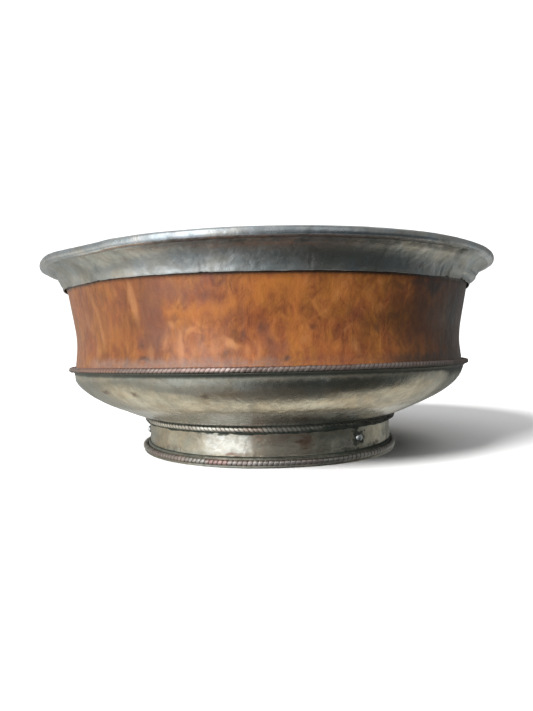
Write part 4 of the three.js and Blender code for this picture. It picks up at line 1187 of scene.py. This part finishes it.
# ---------------------------------------------------------------- floor, light and camera
plain = Graph("floor_white")
plain.set(Base_Color=(0.8, 0.8, 0.8), Roughness=0.9)
plain.shader.inputs["Specular IOR Level"].default_value = 0.0
half = 2.6
floor_mesh = bpy.data.meshes.new("floor")
floor_mesh.from_pydata([(-half, -half, 0), (half, -half, 0), (half, half, 0), (-half, half, 0)], [], [(0, 1, 2, 3)])
floor = bpy.data.objects.new("floor", floor_mesh)
floor_mesh.materials.append(plain.mat)
bpy.context.scene.collection.objects.link(floor)
floor.visible_glossy = False
floor.visible_diffuse = False


def direction(azimuth, elevation):
    """From the bowl: azimuth in degrees from -Y towards +X, elevation up."""
    a, e = math.radians(azimuth), math.radians(elevation)
    return Vector((math.sin(a) * math.cos(e), -math.cos(a) * math.cos(e), math.sin(e)))


def group(name, members):
    c = bpy.data.collections.new(name)
    for o in members:
        c.objects.link(o)
    return c


def sun(name, azimuth, elevation, strength, size, colour, receivers):
    lamp = bpy.data.lights.new(name, "SUN")
    lamp.energy = strength
    lamp.angle = math.radians(size)
    lamp.color = colour
    o = bpy.data.objects.new(name, lamp)
    o.rotation_euler = direction(azimuth, elevation).to_track_quat("Z", "Y").to_euler()
    o.location = direction(azimuth, elevation) * 0.6
    bpy.context.scene.collection.objects.link(o)
    o.visible_glossy = False
    o.light_linking.receiver_collection = receivers
    return o


# a lamp and soft top light for the floor and its shadow, and low window light for the bowl
lit_floor = group("lit_floor", [floor])
sun("floor_light", -46, 36, 6.8, 20, (1.0, 0.995, 0.99), lit_floor)
sun("floor_fill", 0, 90, 1.77, 90, (1.0, 1.0, 1.0), lit_floor)
sun("window_light", -43, 15, 8.6, 54, (1.0, 0.985, 0.96), group("lit_bowl", pieces))

world = bpy.data.worlds.new("studio")
bpy.context.scene.world = world
world.use_nodes = True
wt = world.node_tree
wt.nodes.clear()


class Sky:
    """The studio as the bowl sees it: a soft grey room with a window and patches of lit and shaded surroundings."""

    def __init__(self):
        self.t = wt
        tc = wt.nodes.new("ShaderNodeTexCoord")
        sep = wt.nodes.new("ShaderNodeSeparateXYZ")
        wt.links.new(tc.outputs["Generated"], sep.inputs[0])
        neg = self.math("MULTIPLY", sep.outputs[1], -1.0)
        self.x, self.y, self.z = sep.outputs[0], sep.outputs[1], sep.outputs[2]
        self.az = self.math("MULTIPLY", self.math("ARCTAN2", sep.outputs[0], neg), 180 / math.pi)
        self.el = self.math("MULTIPLY", self.math("ARCSINE", sep.outputs[2], 0.0), 180 / math.pi)
        self.colour = None

    def math(self, op, a, b=0.0):
        n = self.t.nodes.new("ShaderNodeMath")
        n.operation = op
        for s, v in zip(n.inputs, (a, b)):
            if isinstance(v, bpy.types.NodeSocket):
                self.t.links.new(v, s)
            else:
                s.default_value = v
        return n.outputs[0]

    def ramp(self, v, lo, hi, a, b):
        n = self.t.nodes.new("ShaderNodeMapRange")
        n.interpolation_type = "SMOOTHSTEP"
        self.t.links.new(v, n.inputs[0])
        for i, x in zip((1, 2, 3, 4), (lo, hi, a, b)):
            n.inputs[i].default_value = x
        return n.outputs[0]

    def box(self, az0, az1, el0, el1, soft_az, soft_el):
        parts = []
        if az0 is not None:
            parts.append(self.ramp(self.az, az0 - soft_az, az0 + soft_az, 0.0, 1.0))
        if az1 is not None:
            parts.append(self.ramp(self.az, az1 - soft_az, az1 + soft_az, 1.0, 0.0))
        if el0 is not None:
            parts.append(self.ramp(self.el, el0 - soft_el, el0 + soft_el, 0.0, 1.0))
        if el1 is not None:
            parts.append(self.ramp(self.el, el1 - soft_el, el1 + soft_el, 1.0, 0.0))
        v = parts[0]
        for p in parts[1:]:
            v = self.math("MULTIPLY", v, p)
        return v

    def lay(self, mask, colour):
        """Puts a colour over what is there."""
        if self.colour is None:
            n = self.t.nodes.new("ShaderNodeRGB")
            n.outputs[0].default_value = (*mask, 1.0)
            self.colour = n.outputs[0]
            return
        n = self.t.nodes.new("ShaderNodeMix")
        n.data_type = "RGBA"
        n.clamp_factor = True
        self.t.links.new(mask, n.inputs[0])
        self.t.links.new(self.colour, n.inputs[6])
        n.inputs[7].default_value = (*colour, 1.0)
        self.colour = n.outputs[2]


sky = Sky()
right = sky.ramp(sky.x, -0.12, 0.16, 0.0, 1.0)
left = sky.ramp(sky.x, -0.12, 0.16, 1.0, 0.0)
table_left = sky.math("MULTIPLY", sky.math("MULTIPLY", left, sky.ramp(sky.y, 0.1, 0.24, 0.0, 1.0)),
                      sky.math("MULTIPLY", sky.ramp(sky.z, -0.94, -0.84, 0.0, 1.0), sky.ramp(sky.z, -0.6, -0.42, 1.0, 0.0)))
table_right = sky.math("MULTIPLY", sky.math("MULTIPLY", right, sky.ramp(sky.y, 0.16, 0.36, 0.0, 1.0)),
                       sky.math("MULTIPLY", sky.ramp(sky.z, -0.94, -0.86, 0.0, 1.0), sky.ramp(sky.z, -0.58, -0.4, 1.0, 0.0)))
low_right = sky.math("MULTIPLY", sky.math("MULTIPLY", right, sky.ramp(sky.y, 0.12, 0.36, 1.0, 0.0)), sky.ramp(sky.z, -0.68, -0.54, 1.0, 0.0))
nadir = sky.ramp(sky.z, -0.97, -0.89, 1.0, 0.0)
sky.lay((0.38, 0.39, 0.38), None)                                          # sides and back of the room
sky.lay(sky.box(-14, 92, -2, 46, 12, 6), (0.43, 0.44, 0.435))              # room in front
sky.lay(sky.box(40, 200, -3, 50, 14, 6), (0.18, 0.185, 0.18))              # dimmer to the right
sky.lay(sky.box(-80, -16, -56, 0, 12, 10), (0.66, 0.69, 0.71))             # left, below the window
sky.lay(sky.box(-100, -14, None, -50, 14, 9), (0.36, 0.375, 0.39))
sky.lay(sky.box(-18, 91, None, -2, 10, 5), (0.115, 0.121, 0.125))          # dark, in front and below
sky.lay(sky.box(24, 95, None, -5, 14, 6), (0.045, 0.055, 0.060))
sky.lay(sky.box(-20, 18, -31, -19, 9, 5), (0.26, 0.265, 0.26))             # a paler strip in it
sky.lay(low_right, (0.045, 0.052, 0.054))
sky.lay(sky.box(None, None, 48, None, 1, 10), (0.58, 0.61, 0.63))          # ceiling
sky.lay(sky.box(10, 120, 44, None, 16, 10), (0.22, 0.23, 0.23))
sky.lay(sky.box(-125, -60, -18, 1, 10, 6), (0.74, 0.70, 0.62))             # low on the left
sky.lay(table_left, (0.86, 0.81, 0.69))                                    # the pale table past the nadir
sky.lay(table_right, (0.66, 0.62, 0.53))
sky.lay(sky.math("MULTIPLY", sky.math("MULTIPLY", sky.ramp(sky.x, -0.3, -0.1, 0.0, 1.0), sky.ramp(sky.x, 0.14, 0.3, 1.0, 0.0)),
                 sky.math("MULTIPLY", sky.ramp(sky.y, 0.14, 0.3, 0.0, 1.0), sky.ramp(sky.z, -0.84, -0.72, 1.0, 0.0))), (0.98, 0.93, 0.8))
sky.lay(nadir, (0.22, 0.195, 0.18))
sky.lay(sky.math("MULTIPLY", nadir, sky.ramp(sky.x, -0.24, 0.27, 0.0, 1.0)), (0.07, 0.072, 0.068))
sky.lay(sky.box(-64, -17, -29, -4, 7, 7), (0.86, 0.89, 0.92))              # light below the window
sky.lay(sky.box(-61, -18, -11, 50, 6, 6), (1.75, 1.81, 1.83))              # the window
# what lights the matt surfaces besides the lamps: dimmer, and less of it from the right
fill = Sky()
fill.lay((0.055, 0.058, 0.06), None)
fill.lay(fill.box(-150, 0, None, None, 40, 1), (0.20, 0.20, 0.20))
camera_ray = wt.nodes.new("ShaderNodeLightPath")
shade = wt.nodes.new("ShaderNodeMix")
shade.data_type = "RGBA"
wt.links.new(camera_ray.outputs["Is Camera Ray"], shade.inputs[0])
which = wt.nodes.new("ShaderNodeMix")
which.data_type = "RGBA"
wt.links.new(camera_ray.outputs["Is Diffuse Ray"], which.inputs[0])
wt.links.new(sky.colour, which.inputs[6])
wt.links.new(fill.colour, which.inputs[7])
wt.links.new(which.outputs[2], shade.inputs[6])
shade.inputs[7].default_value = (1.25, 1.25, 1.25, 1.0)
bg = wt.nodes.new("ShaderNodeBackground")
wt.links.new(shade.outputs[2], bg.inputs[0])
world_out = wt.nodes.new("ShaderNodeOutputWorld")
wt.links.new(bg.outputs[0], world_out.inputs[0])

cam = bpy.data.cameras.new("camera")
cam.sensor_width = 36.0
cam.lens = 534.0 * 36.0 / 711.0
cam.clip_start = 0.005
cam.clip_end = 20.0
eye = bpy.data.objects.new("camera", cam)
pitch, roll, yaw = math.radians(0.712), math.radians(1.206), math.radians(0.054)
eye.matrix_world = (Matrix.Translation(Vector((-0.444, -179.4, 31.14)) * MM) @ Matrix.Rotation(yaw, 4, "Z")
                    @ Matrix.Rotation(math.pi / 2 - pitch, 4, "X") @ Matrix.Rotation(-roll, 4, "Z"))
bpy.context.scene.collection.objects.link(eye)
bpy.context.scene.camera = eye

view = bpy.context.scene.view_settings
view.view_transform = "Standard"
view.look = "None"
view.exposure = 0.0
view.gamma = 1.0
